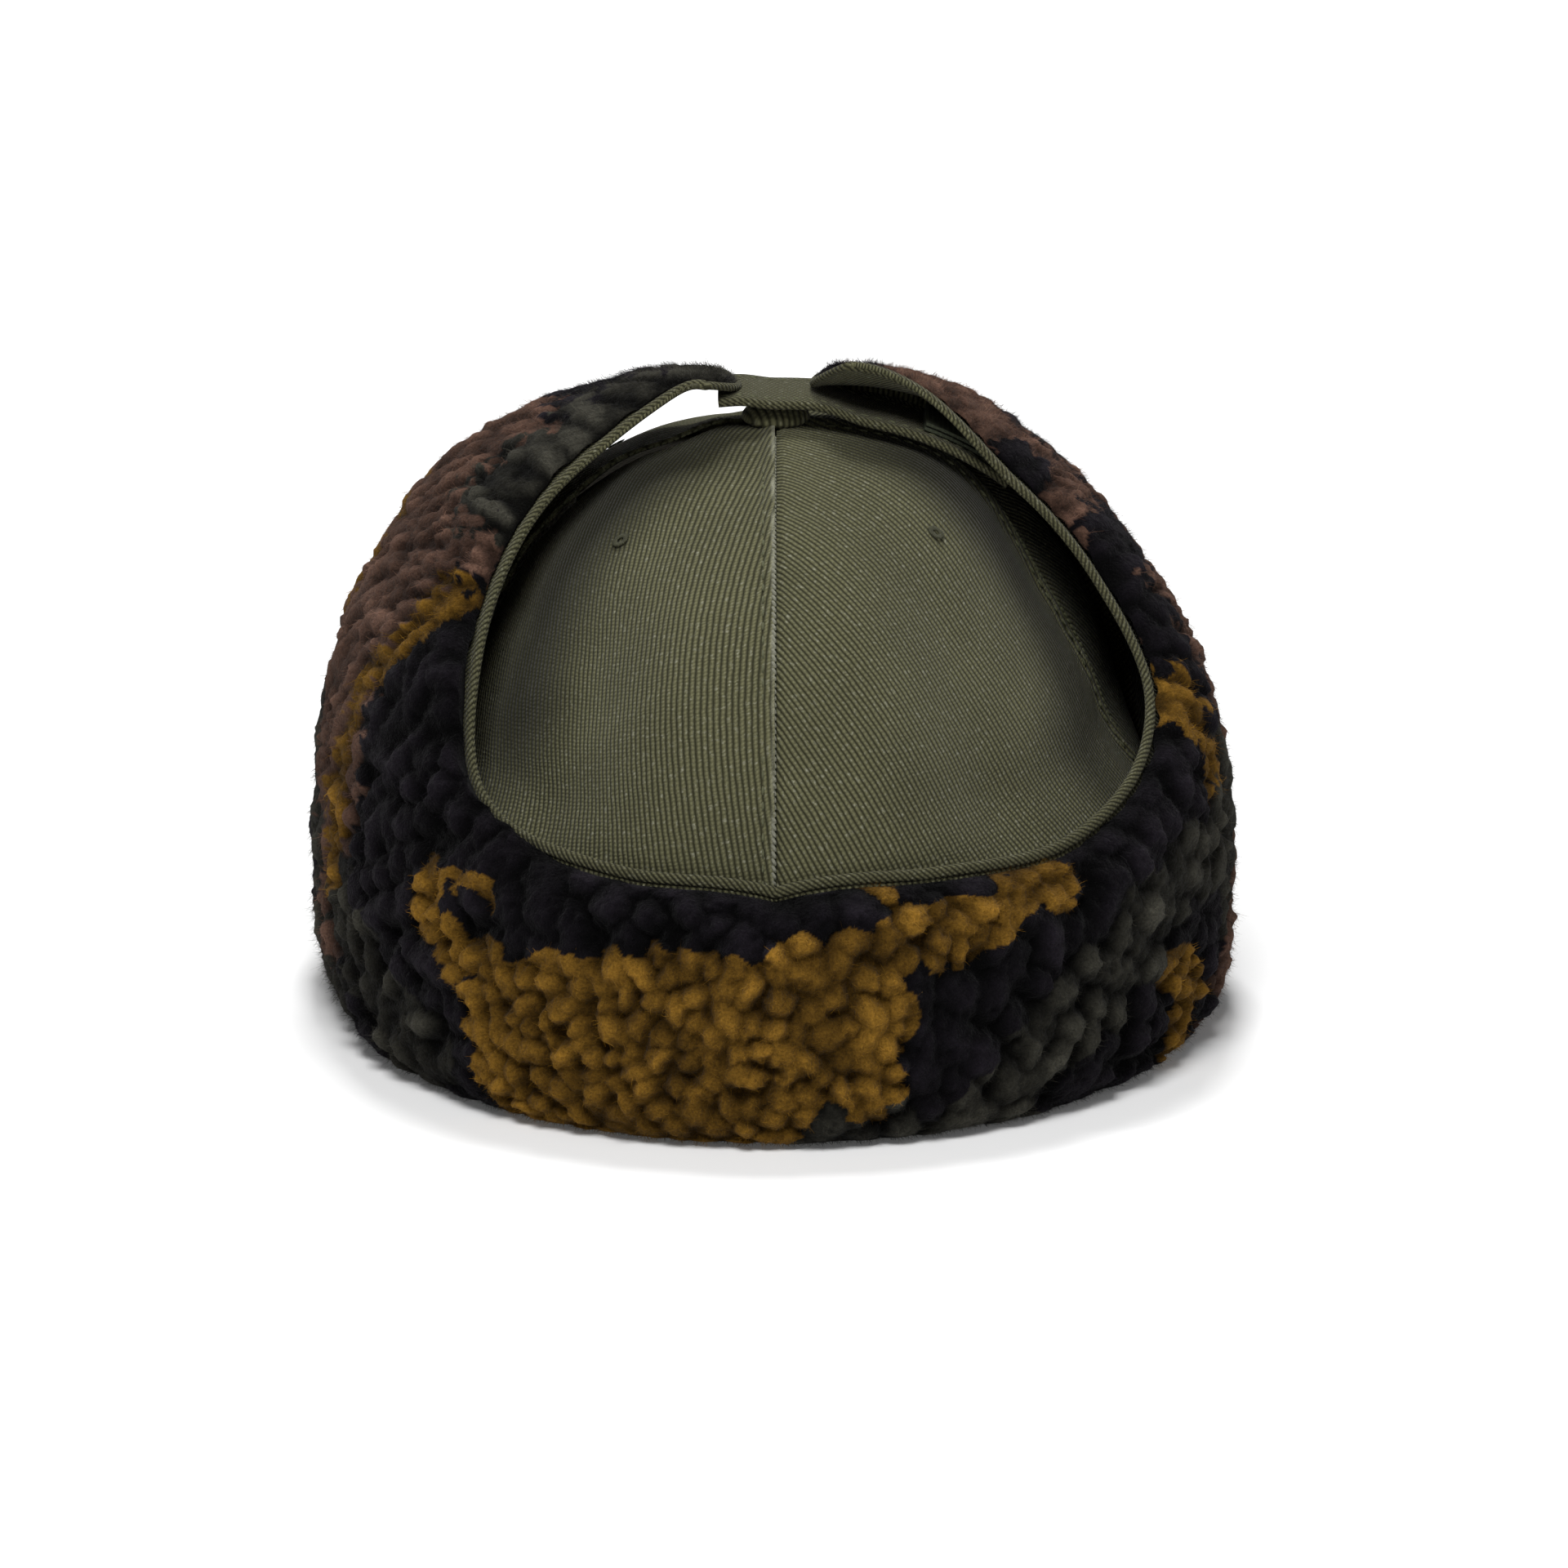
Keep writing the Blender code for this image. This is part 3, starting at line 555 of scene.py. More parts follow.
# a section swept along a path: path, side and out are rows of vectors, section is (side, out) offsets
def sweptPiece(name, path, side, out, section, material):
    columns, rows = len(path) - 1, len(section)
    mesh = gridMesh(name, columns, rows)
    u, v, _ = points(mesh).T
    at, ring = np.rint(u * columns).astype(int), np.rint(v * rows).astype(int)
    offsets = section[ring % rows]
    setPoints(mesh, path[at] + side[at] * offsets[:, :1] + out[at] * offsets[:, 1:])
    setCloth(mesh, runAlong(np.vstack([section, section[:1]]))[ring], runAlong(path)[at])
    return finishPiece(mesh, material)


def roundSection(width, height, corner, steps=4):
    centres = ((width / 2 - corner, height / 2 - corner), (corner - width / 2, height / 2 - corner),
               (corner - width / 2, corner - height / 2), (width / 2 - corner, corner - height / 2))
    return np.array([(x + corner * math.cos(turn), y + corner * math.sin(turn))
                     for quarter, (x, y) in enumerate(centres)
                     for turn in np.linspace(quarter * math.pi / 2, (quarter + 1) * math.pi / 2, steps)])


# sewn stitches: short lozenges at the places of a row, each lying along its way
def stitchPiece(name, row, size, material="thread", body="crown"):
    bm = bmesh.new()
    for place, way, up in zip(*row):
        made = bmesh.ops.create_icosphere(bm, subdivisions=1, radius=0.5)
        turn = Matrix((way, np.cross(up, way), up)).transposed().to_4x4()
        shape = Matrix.Translation(place) @ turn @ Matrix.Diagonal((*size, 1.0))
        bmesh.ops.transform(bm, matrix=shape, verts=made["verts"])
    piece = finishPiece(toMesh(bm, name), material, merge=False)
    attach(piece, body)
    return piece


# a row of evenly spaced stitches on a dense line with normals; lean turns each one out of the line
def stitchesOn(line, normals, pitch, lean=0.0):
    run = runAlong(line)
    stops = np.arange(pitch / 2, run[-1], pitch)

    def between(rows, where):
        return np.stack([np.interp(where, run, rows[:, k]) for k in range(3)], axis=1)

    at, up = between(line, stops), unit(between(normals, stops))
    way = unit(between(line, stops + pitch / 4) - at)
    turn = math.radians(lean)
    way = unit(way * math.cos(turn) + np.cross(up, way) * math.sin(turn))
    return at, way, unit(np.cross(way, np.cross(up, way)))


# crown panels: four quarters, one edge of each lapped over its neighbour and worn pale along the fold
panel = {
    "grid": (72, 90), "seamFine": 0.86, "rivet": 0.0021, "ridge": 0.0012, "lapOut": (0.0046, 0.0040),
    "under": 0.5, "underOut": (0.002, 0.002), "sags": ((0.0005, 0.022, 5), (0.00025, 0.009, 9)),
    "pucker": 0.0004, "puckerOut": (0.012, 0.012), "puckerLumps": (0.006, 13), "calmRim": (0.0, 0.02),
    "wearAt": 0.0004, "wearWidth": 0.0007, "wear": (0.55, 0.45), "wearLumps": (0.004, 3),
}
panelNames = ("back_left", "back_right", "front_right", "front_left")
seamAngles = {"back": 90, "right": 180, "front": 270, "left": 0}
rivetRoom = float(np.interp(panel["rivet"] / meanRadius, outlineRadius, outlineLength))
# painted shade: the twill near the ears' edges is painted darker, standing in for the shade the ears cast on
# the crown
earShadeReach = {"along": (0.47, 0.92), "steps": 60, "out": (0.027, 0.018)}


def paintedShadeNearEars(at):
    along = np.linspace(*earShadeReach["along"], earShadeReach["steps"])
    near = np.zeros(len(at))
    for ear in (along, -along):
        gaps = np.linalg.norm(at[:, None, :] - cuffPoint(ear, 0.0, 0.0)[None], axis=2)
        near = np.maximum(near, fall(np.min(gaps, axis=1), *earShadeReach["out"]))
    return near


def makePanel(number):
    middle = math.radians(45 + 90 * number)
    fold = {}

    def form(u, v, face):
        spread = u - panel["seamFine"] * np.sin(math.tau * u) / math.tau  # finer towards the seams
        length = lerp(rivetRoom, crownLength, v)
        radius = radiusAt(length)
        inset = np.arcsin(np.minimum(0.9, crown["seamGap"] / 2 / radius))
        turn = (2 * spread - 1) * (math.pi / 4 - inset)
        fromSeam = (math.pi / 4 - np.abs(turn)) * radius
        under = -panel["under"] * fall(fromSeam, *panel["underOut"])
        ridge = panel["ridge"] * np.where(turn > 0, fall(fromSeam, *panel["lapOut"]), under)
        base = crownPoint(middle + turn, length, 0.0)
        pucker = panel["pucker"] * fall(fromSeam, *panel["puckerOut"]) * lumps(base, *panel["puckerLumps"])
        sag = (layered(base, panel["sags"], number) + pucker) * rise(crownLength - length, *panel["calmRim"])
        lift = crown["panelBulge"] * np.sin(math.pi * spread) * np.sin(math.pi * v) + ridge + sag
        toFold = (1 - spread) * math.pi / 2 * radius
        fold["wear"] = face * np.exp(-((toFold - panel["wearAt"]) / panel["wearWidth"]) ** 2)
        places = clothPoint(middle + turn, length, lift - (1 - face) * crown["panelThickness"])
        return places, turn * radius, -length

    made = sheetPiece(panelNames[number] + "_twill", panel["grid"], form, "twill")
    at = points(made.data)
    even, uneven = panel["wear"]
    wear = fold["wear"] * (even + uneven * lumps(at, *panel["wearLumps"]))
    setValue(made.data, "wear", wear * (number % 2 == 0))  # back and front seams
    # painted shade beside the ears, stored as kept
    setValue(made.data, "kept", paintedShadeNearEars(at))
    onCrown(made, panelNames[number] + "_panel")
    declareSheet(made)


for number in range(4):
    makePanel(number)
print("crown panels")

# seam stitching: a row on each lapped edge, and the fold's own worn yarns
seamStitch = {
    "fromTop": 0.012, "fromRim": 0.001, "steps": 240, "inset": 0.0030, "lift": 0.0006, "pitch": 0.0034,
    "size": (0.0024, 0.0006, 0.0005), "yarnInset": 0.0004, "yarnLift": 0.0009, "yarnPitch": 0.0015,
    "yarnLean": 28.0, "yarn": (0.0021, 0.0009, 0.0007),
}


def seamLine(degrees, inset, lift):
    length = np.linspace(seamStitch["fromTop"], crownLength - seamStitch["fromRim"], seamStitch["steps"])
    angle = np.radians(degrees) - inset / radiusAt(length)
    return clothPoint(angle, length, lift), crownNormal(angle, length)


for seam, degrees in seamAngles.items():
    row = stitchesOn(*seamLine(degrees, seamStitch["inset"], seamStitch["lift"]), seamStitch["pitch"])
    stitchPiece(seam + "_seam_stitches", row, seamStitch["size"])
    row = stitchesOn(*seamLine(degrees, seamStitch["yarnInset"], seamStitch["yarnLift"]),
                     seamStitch["yarnPitch"], seamStitch["yarnLean"])
    yarns = "paleThread" if seam in ("back", "front") else "thread"
    stitchPiece(seam + "_seam_yarns", row, seamStitch["yarn"], yarns)
print("seam stitching")

# eyelets: satin stitches laid round a hole
eyelet = {"fromTop": 0.054, "angle": 40.0, "hole": 0.0006, "ring": 0.0022, "stitches": 24, "uneven": 0.03,
          "wide": 0.0006, "thick": 0.0003}


def makeEyelet(number):
    angle = math.radians(eyelet["angle"])
    turn = (angle, math.pi - angle, math.pi + angle, -angle)[number]
    seat = clothPoint(turn, eyelet["fromTop"], crown["panelBulge"])
    out = crownNormal(turn, eyelet["fromTop"])
    right = unit(np.cross((0, 0, 1), out))
    step = np.arange(eyelet["stitches"])
    around = math.tau * step / eyelet["stitches"]
    ways = np.outer(np.cos(around), right) + np.outer(np.sin(around), np.cross(out, right))
    middle = (eyelet["hole"] + eyelet["ring"]) / 2 * (1 + eyelet["uneven"] * (step % 3 - 1))
    row = seat + ways * middle[:, None], ways, np.tile(out, (len(step), 1))
    size = (eyelet["ring"] - eyelet["hole"], eyelet["wide"], eyelet["thick"])
    made = stitchPiece(panelNames[number] + "_eyelet_stitches", row, size, "eyelet")
    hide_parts(panelNames[number] + "_eyelet")


for number in range(4):
    makeEyelet(number)
print("eyelets")

# button: cloth gathered over a dome
button = {"radius": 0.0075, "height": 0.0045, "skirt": 0.0008, "foot": 0.9, "bow": 0.8, "rings": 14,
          "steps": 48}


def makeButton():
    seat = crown["rim"] + crown["height"] + crown["gap"]
    profile = [(0.0, seat), (button["radius"] * button["foot"], seat)]
    for turn in np.linspace(0, math.pi / 2, button["rings"])[:-1]:
        profile.append((button["radius"] * math.cos(turn) ** button["bow"],
                        seat + button["skirt"] + (button["height"] - button["skirt"]) * math.sin(turn)))
    profile.append((0.0, seat + button["height"]))
    bm = bmesh.new()
    verts = [bm.verts.new((radius, 0, height)) for radius, height in profile]
    edges = [bm.edges.new(pair) for pair in zip(verts, verts[1:])]
    bmesh.ops.spin(bm, geom=verts + edges, axis=(0, 0, 1), cent=(0, 0, 0), angle=math.tau,
                   steps=button["steps"], use_merge=True)
    bmesh.ops.remove_doubles(bm, verts=bm.verts[:], dist=mergeGap)
    mesh = toMesh(bm, "button_cloth")
    at = points(mesh)
    setCloth(mesh, at[:, 0], at[:, 1])
    onCrown(finishPiece(mesh, "twill"), "crown_button")


makeButton()
print("button")

# cuff shell: the twill behind the fleece, and its edge turned over into a roll
shell = {
    "grid": (90, 40), "mapSteps": 801, "steps": 170, "tipSteps": 26, "fromTemple": 0.002, "roll": 0.0026,
    "rollHeight": 0.0019, "rollCorner": 0.45, "rollInset": 0.0012, "rollSink": 0.0002,
}
reaches = {"neck": (-cuff["neckShare"], cuff["neckShare"]), "left_ear": (cuff["neckShare"], 1.0),
           "right_ear": (-1.0, -cuff["neckShare"])}


def carry(piece, region):
    if region == "neck":
        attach(piece, "crown")
    else:
        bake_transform(piece)


def makeShell(region):
    fine = np.linspace(-1, 1, shell["mapSteps"])
    run = runAlong(cuffPoint(fine, 0.5, 0.0))

    def form(u, v, face):
        along = lerp(*reaches[region], u)
        places = cuffPoint(along, v, face * cuff["shellThickness"])
        return places, np.interp(along, fine, run), v * cuffWidth(along)

    made = sheetPiece(region + "_twill", shell["grid"], form, "twill")
    carry(made, region)
    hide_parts(region + "_shell")
    declareSheet(made)


def makeEdgeRoll(region):
    start, end = reaches[region]
    along = np.linspace(start, end, shell["steps"])
    share = np.zeros(len(along))
    if region != "neck":  # up the back edge, round the tip and down the front
        run = np.linspace(cuff["neckShare"], 1.0, shell["steps"])
        back = np.linspace(1.0, cuff["templeShare"] + shell["fromTemple"], shell["steps"] // 2)
        turn = np.linspace(0, 1, shell["tipSteps"])[1:-1]
        along = np.concatenate([run, np.ones(len(turn)), back]) * (1 if end > 0 else -1)
        share = np.concatenate([np.zeros(len(run)), turn, np.ones(len(back))])
    inset, high = shell["rollInset"], shell["rollHeight"]
    inner = cuffPoint(along, share, 0.0, inset, inset)
    out = unit(cuffPoint(along, share, probe, inset, inset) - inner)
    side = unit(np.cross(unit(np.gradient(inner, axis=0)), out))
    section = roundSection(shell["roll"], high, high * shell["rollCorner"])
    path = inner + out * (high / 2 - shell["rollSink"])
    # the roll's twill is the darker copy, painted shade
    carry(sweptPiece(region + "_edge_roll", path, side, out, section, "strapTwillPaintedShade"), region)


for region in reaches:
    makeShell(region)
    makeEdgeRoll(region)
print("cuff shell")

# camouflage: broad strokes, each a half width in mm, then (degrees from the back, height over the rim in mm)
camo = {
    "inks": {"black": (0.0042, 0.0034, 0.0047), "brown": (0.085, 0.047, 0.033),
             "green": (0.0200, 0.0190, 0.0148), "mustard": (0.140, 0.072, 0.010)},
    "darkUnder": 0.03, "ragged": 3.2, "edges": ((1.0, 0.010, 21), (0.6, 0.004, 22)), "narrowest": 0.3,
    "plainTo": 75, "patches": (0.030, 25), "brownOver": 0.05, "greenUnder": -0.25,
    "strokes": {
        "brown": (
            (17, (82, 50), (86, 70), (92, 90), (94, 115)),
            (11, (77, 87), (71, 104)),
            (8, (83, 14), (80, 37)),
            (10, (-79, 82), (-86, 66), (-86, 50)),
            (8, (-71, 154), (-78, 139), (-78, 106)),
            (9, (-100, 60), (-104, 100)),
            (8, (-84, 4), (-92, 22)),
        ),
        "green": (
            (10, (78, 22), (70, 15), (61, 9), (53, 0)),
            (10, (73, 111), (70, 124), (70, 148), (56, 163)),
            (10, (-78, 45), (-70, 39), (-61, 31), (-51, 22), (-39, 13), (-28, 5)),
            (6, (3, 0), (-5, 0), (-14, 1), (-24, 3)),
            (9, (104, 40), (112, 70)),
            (8, (-108, 24), (-112, 50)),
        ),
        "black": (
            (9, (59, 75), (55, 55), (51, 38), (45, 37)),
            (7, (59, 28), (52, 18), (46, 10), (44, 0)),
            (10, (39, 46), (21, 43), (5, 43), (-7, 45)),
            (5, (-22, 50), (-34, 50)),
            (10, (-66, 52), (-50, 44), (-38, 33), (-28, 22), (-20, 10)),
            (7, (-81, 97), (-79, 87), (-77, 71)),
            (6, (-74, 125), (-80, 119)),
            (7, (-58, 166), (-65, 159)),
            (8, (-69, 47), (-78, 58)),
            (8, (98, 20), (104, 8)),
        ),
        "mustard": (
            (13, (37, 17), (21, 18), (5, 21), (-11, 24)),
            (10, (35, 6), (21, 4), (5, 9), (-10, 12)),
            (6.4, (-3, 34), (-14, 36), (-26, 36), (-34, 41), (-40, 43)),
            (3, (-16, 48), (-17, 41)),
            (4.2, (52, 35), (48, 29), (41, 24)),
            (2.6, (52, 35), (47, 40), (41, 40)),
            (4, (82, 26), (80, 43), (78, 62), (70, 78), (65, 90)),
            (4.8, (-62, 15), (-68, 10), (-66, 2)),
            (4, (-72, 67), (-73, 58), (-76, 48)),
            (5, (100, 70), (106, 92)),
        ),
    },
}


def unrolled(at):
    angle = 90 - np.degrees(np.arctan2(at[:, 1] / crown["halfLength"], at[:, 0] / crown["halfWidth"]))
    angle = np.where(angle > 180, angle - 360, angle)
    radius = np.hypot(at[:, 0] / crown["halfWidth"], at[:, 1] / crown["halfLength"])
    high = np.maximum((at[:, 2] - crown["rim"]) / crown["height"], 0)
    height = crownLength - np.interp(np.arctan2(radius, high), outlineTurn, outlineLength)
    return angle, height * 1000


def inkAt(at):
    angle, height = unrolled(at)
    radius = np.interp(crownLength - height / 1000, outlineLength, outlineRadius)
    scale = math.radians(1) * meanRadius * 1000 * np.maximum(radius, camo["narrowest"])  # mm for a degree
    angle = angle + camo["ragged"] * layered(at, camo["edges"]) / scale
    height = height + camo["ragged"] * layered(at, camo["edges"], 2)
    inks = camo["inks"]
    tone = np.where(np.abs(angle) < camo["plainTo"], 0, lumps(at, *camo["patches"]))[:, None]
    colour = np.where(tone < camo["greenUnder"], inks["green"], inks["black"])
    colour = np.where(tone > camo["brownOver"], inks["brown"], colour)
    for ink, strokes in camo["strokes"].items():
        for reach, *stroke in strokes:
            nearest = np.full(len(at), np.inf)
            for first, second in zip(stroke, stroke[1:]):
                alongX, alongY = (second[0] - first[0]) * scale, second[1] - first[1]
                toX, toY = (angle - first[0]) * scale, height - first[1]
                share = np.clip((toX * alongX + toY * alongY) / (alongX ** 2 + alongY ** 2 + tiny), 0, 1)
                nearest = np.minimum(nearest, np.hypot(toX - share * alongX, toY - share * alongY))
            colour = np.where((nearest < reach)[:, None], inks[ink], colour)
    return colour


# fleece: a padded face of pile, thinner to the ears' tips, that spills over the edge left of the opening
fleece = {
    "thickness": 0.0095, "edgeShare": 0.12, "edgeRound": 0.014, "foot": 0.0017, "margin": 0.0031,
    "beforeTemple": 0.04, "tipRun": 0.18, "tipShare": 0.30, "thinIn": (0.55, 0.3), "overEdge": 0.5,
    "spill": 0.0040, "spillIn": (0.20, 0.08), "spillOut": (0.54, 0.08), "napIn": (0.36, 0.2), "napStep": 0.03,
    "outerShare": 0.86, "grids": {"neck": (330, 150), "left_ear": (230, 230), "right_ear": (230, 230)},
    "fade": 0.35, "earFade": 0.7, "inkHold": (0.55, 0.20), "inkRun": 0.010, "inkLumps": (0.0024, 61),
}
# nubs: tufts of pile, each clear of its neighbours; on the ears they are slimmer and lie with the nap
nub = {
    "tries": 52000, "gap": (0.0036, 0.0054), "gapLumps": (0.022, 31), "darkGap": 1.5, "cell": 1.4, "top": 0.9,
    "size": (0.62, 0.92), "earSize": 0.8, "height": (0.62, 1.15), "shade": (0.70, 1.30), "aspect": (1.1, 2.3),
    "earAspect": 1.9, "upward": (0, 0, 0.6), "stray": 0.25, "near": 6, "crease": 13.0, "depth": 0.0040,
    "swirl": 0.0007, "swirls": ((1.0, 0.0034, 41), (0.9, 0.0016, 51)), "lowest": -0.1, "level": 0.95,
    "grains": ((0.14, 0.0024, 45), (0.12, 0.0013, 46)),
    # the last two: (low, gain, power) of the painted shade between the nubs and the painted highlight on their
    # tops, for dark and for pale inks
    "darkInkShading": (0.06, 1.75, 2.4), "paleInkShading": (0.20, 1.0, 1.7),  # dark inks gap more
}


def spill(along):
    return rise(along, *fleece["spillIn"]) * fall(along, *fleece["spillOut"])


def loft(along, share):
    fromEdge = np.minimum(share, 1 - share) * cuffWidth(along)
    fromTip = (1 - np.abs(along)) * fleece["tipRun"]
    near = 1 - np.minimum(1.0, np.minimum(fromEdge, fromTip) / fleece["edgeRound"])
    thin = lerp(1.0, fleece["tipShare"], rise(np.abs(along), *fleece["thinIn"]))
    edge = lerp(fleece["edgeShare"], fleece["overEdge"], spill(along) * (share < 0.5))
    return lerp(edge, 1.0, np.sqrt(1 - near * near)) * thin


def fleecePoint(along, share, depth):
    free = np.abs(along) > cuff["templeShare"] - fleece["beforeTemple"]
    height = fleece["foot"] + depth * fleece["thickness"] * loft(along, share)
    inset = fleece["margin"] - fleece["spill"] * spill(along)
    return cuffPoint(along, share, height, inset, np.where(free, fleece["margin"], 0.0))


# the ears' pile is brushed: how much of that a place has, and which way it lies
def earShare(along):
    return rise(np.abs(along), *fleece["napIn"])


def napAt(along, share):
    top = fleecePoint(along, np.clip(share - fleece["napStep"], 0, 1), 0.5)
    return unit(top - fleecePoint(along, np.clip(share + fleece["napStep"], 0, 1), 0.5))


def scatterNubs():
    along = dice.uniform(-1, 1, nub["tries"])
    share = dice.uniform(0, 1, nub["tries"])
    at = fleecePoint(along, share, nub["top"])
    size = lerp(*nub["gap"], 0.5 + 0.5 * lumps(at, *nub["gapLumps"]))
    size = size * np.where(inkAt(at)[:, 0] < camo["darkUnder"], nub["darkGap"], 1.0)
    kept, cells = [], {}
    keys = np.floor(at / (nub["gap"][1] * nub["cell"])).astype(int)
    for number in range(len(at)):
        x, y, z = keys[number]
        near = [other for i in (-1, 0, 1) for j in (-1, 0, 1) for k in (-1, 0, 1)
                for other in cells.get((x + i, y + j, z + k), ())]
        if all(np.sum((at[number] - at[other]) ** 2) > size[number] ** 2 for other in near):
            kept.append(number)
            cells.setdefault((x, y, z), []).append(number)
    return at[kept], size[kept], napAt(along[kept], share[kept]), earShare(along[kept])


nubs, nubSizes, nubNaps, nubEars = scatterNubs()
nubTree = kdtree.KDTree(len(nubs))
for number, place in enumerate(nubs):
    nubTree.insert(place, number)
nubTree.balance()
nubSizes = nubSizes * dice.uniform(*nub["size"], len(nubs)) * lerp(1.0, nub["earSize"], nubEars)
nubHeights = dice.uniform(*nub["height"], len(nubs))
nubShades = dice.uniform(*nub["shade"], len(nubs))
nubWays = dice.normal(0, 1, (len(nubs), 3)) + nub["upward"]
nubWays = unit(lerp(nubWays, nubNaps + nub["stray"] * nubWays, nubEars[:, None]))
nubAspects = dice.uniform(*nub["aspect"], len(nubs)) * lerp(1.0, nub["earAspect"], nubEars)
print("fleece nubs", len(nubs))


# how far a point of the fleece stands out, its place from a nub's foot to its top, and which nub that is
def nubRelief(at):
    bent = at + nub["swirl"] * np.stack([layered(at, nub["swirls"], k) for k in range(3)], axis=1)
    near = np.array([[found[1] for found in nubTree.find_n(place, nub["near"])] for place in bent])
    toNub = bent[:, None, :] - nubs[near]
    lengthwise = np.sum(toNub * nubWays[near], axis=2)
    apart = np.sum(toNub ** 2, axis=2) - lengthwise ** 2 * (1 - nubAspects[near] ** -2)
    domes = nubHeights[near] * (1 - apart / nubSizes[near] ** 2)
    relief = np.log(np.sum(np.exp(nub["crease"] * np.maximum(domes, -1)), axis=1)) / nub["crease"]
    relief = np.maximum(relief, nub["lowest"]) + layered(at, nub["grains"])
    return relief - nub["level"], np.clip(relief, 0, 1), near[np.arange(len(at)), np.argmax(domes, axis=1)]


def makeFleece(region):
    columns, rows = fleece["grids"][region]
    mesh = gridMesh(region + "_fleece_pile", columns, rows)
    u, v, _ = points(mesh).T
    along = lerp(*reaches[region], u)
    v = np.where(v > 1 - 0.5 / rows, 0.0, v)  # the last row meets the first
    outer = v <= fleece["outerShare"]
    turn = np.where(outer, v / fleece["outerShare"], (1 - v) / (1 - fleece["outerShare"]))
    share = np.where(outer, 0.5 - 0.5 * np.cos(math.pi * turn), turn)
    depth = np.where(outer, 1.0, 0.0)
    at = fleecePoint(along, share, depth)
    out = unit(fleecePoint(along, share, depth + 0.1) - at)
    relief, dome, first = nubRelief(at)
    ear, nap = earShare(along), napAt(along, share)
    fade = lerp(fleece["fade"], 1.0, loft(along, share)) * lerp(1.0, fleece["earFade"], ear)
    places = at + out * (relief * nub["depth"] * np.where(outer, fade, 0.0))[:, None]
    setPoints(mesh, places)
    middle = lerp(at, nubs[first], lerp(*fleece["inkHold"], ear)[:, None])
    stretch = ear * fleece["inkRun"] * lumps(at, *fleece["inkLumps"])  # inks run along the nap
    colours = inkAt(middle + nap * stretch[:, None])
    # painted shade and highlight: each point's ink is painted darker low between the nubs and lighter on their
    # tops
    dark, pale = (low + gain * dome ** power for low, gain, power in (nub["darkInkShading"], nub["paleInkShading"]))
    reliefShading = np.where(colours[:, 0] < camo["darkUnder"], dark, pale)
    colours = colours * (nubShades[first] * reliefShading)[:, None]
    setColour(mesh, "ink", colours)
    made = finishPiece(mesh, "fleece")
    carry(made, region)
    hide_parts(region + "_fleece")
    chosen = dice.choice(np.flatnonzero(outer), fuzz["strands"])
    makeFuzz(region, places[chosen], out[chosen], colours[chosen], nap[chosen], ear[chosen])


# fuzz: fine fibres standing out of the pile; some settings are pairs, for the neck and for the ears
fuzz = {
    "strands": 48000, "length": (0.0006, 0.0017), "grow": (1.0, 1.7), "width": 0.00009, "taper": 0.8,
    "sink": 0.0002, "stand": (1.0, 0.26), "wild": (0.75, 0.30), "bend": (0.7, 0.35), "tint": (0.6, 1.6),
    "paintedHighlightRoot": 0.9, "paintedHighlightGain": 0.8, "overFloor": 0.0004,
}


def makeFuzz(region, roots, out, colours, nap, ear):
    count = len(roots)
    bm = bmesh.new()
    bmesh.ops.create_grid(bm, x_segments=1, y_segments=2, size=0.5)
    strand = bpy.data.objects.new("strand", toMesh(bm, "strand"))
    scene.collection.objects.link(strand)
    many = strand.modifiers.new("many", "ARRAY")
    many.count = count
    many.use_relative_offset = False
    many.use_constant_offset = True
    many.constant_offset_displace = (0, 0, 1)
    bpy.context.view_layer.update()
    mesh = bpy.data.meshes.new_from_object(strand.evaluated_get(bpy.context.evaluated_depsgraph_get()))
    bpy.data.objects.remove(strand)
    mesh.name = region + "_fleece_fuzz"
    u, v, number = points(mesh).T
    number = np.rint(number).astype(int)
    up = v + 0.5
    stand, wild, bend = (lerp(*fuzz[key], ear)[:, None] for key in ("stand", "wild", "bend"))
    way = unit(out * stand + wild * dice.normal(0, 1, (count, 3)) - nap * ear[:, None])
    bend = bend * dice.normal(0, 1, (count, 3))
    side = unit(np.cross(way, dice.normal(0, 1, (count, 3))))
    length = dice.uniform(*fuzz["length"], count) * lerp(*fuzz["grow"], ear)
    at = (roots - out * fuzz["sink"])[number] + way[number] * (length[number] * up)[:, None]
    at = at + (bend * length[:, None])[number] * (0.5 * up ** 2)[:, None]
    at = at + side[number] * (u * fuzz["width"] * (1 - fuzz["taper"] * up))[:, None]
    at[:, 2] = np.maximum(at[:, 2], fuzz["overFloor"])
    setPoints(mesh, at)
    # painted highlight: on top of each strand's random tone, the strand is painted lighter from its root to
    # its tip
    tint = dice.uniform(*fuzz["tint"], count)[number] * (fuzz["paintedHighlightRoot"] + fuzz["paintedHighlightGain"] * up)
    setColour(mesh, "ink", colours[number] * tint[:, None])
    carry(finishPiece(mesh, "fuzz", merge=False), region)


for region in reaches:
    makeFleece(region)
    print("fleece", region)

# strap: two layers of twill, stitched round, off the left ear's tip and under the right ear
strap = {
    "width": 0.020, "swell": 1.06, "thickness": 0.0020, "corner": 0.42, "inEar": 0.004, "end": -0.056,
    "low": 0.0030, "steps": 90, "rowInset": 0.0022, "stitch": (0.0022, 0.0006, 0.0005), "pitch": 0.0031,
    "patch": (-0.034, -0.053), "patchWidth": 0.016, "patchThickness": 0.0008, "patchCorner": 0.4,
    "patchSteps": 24,
}


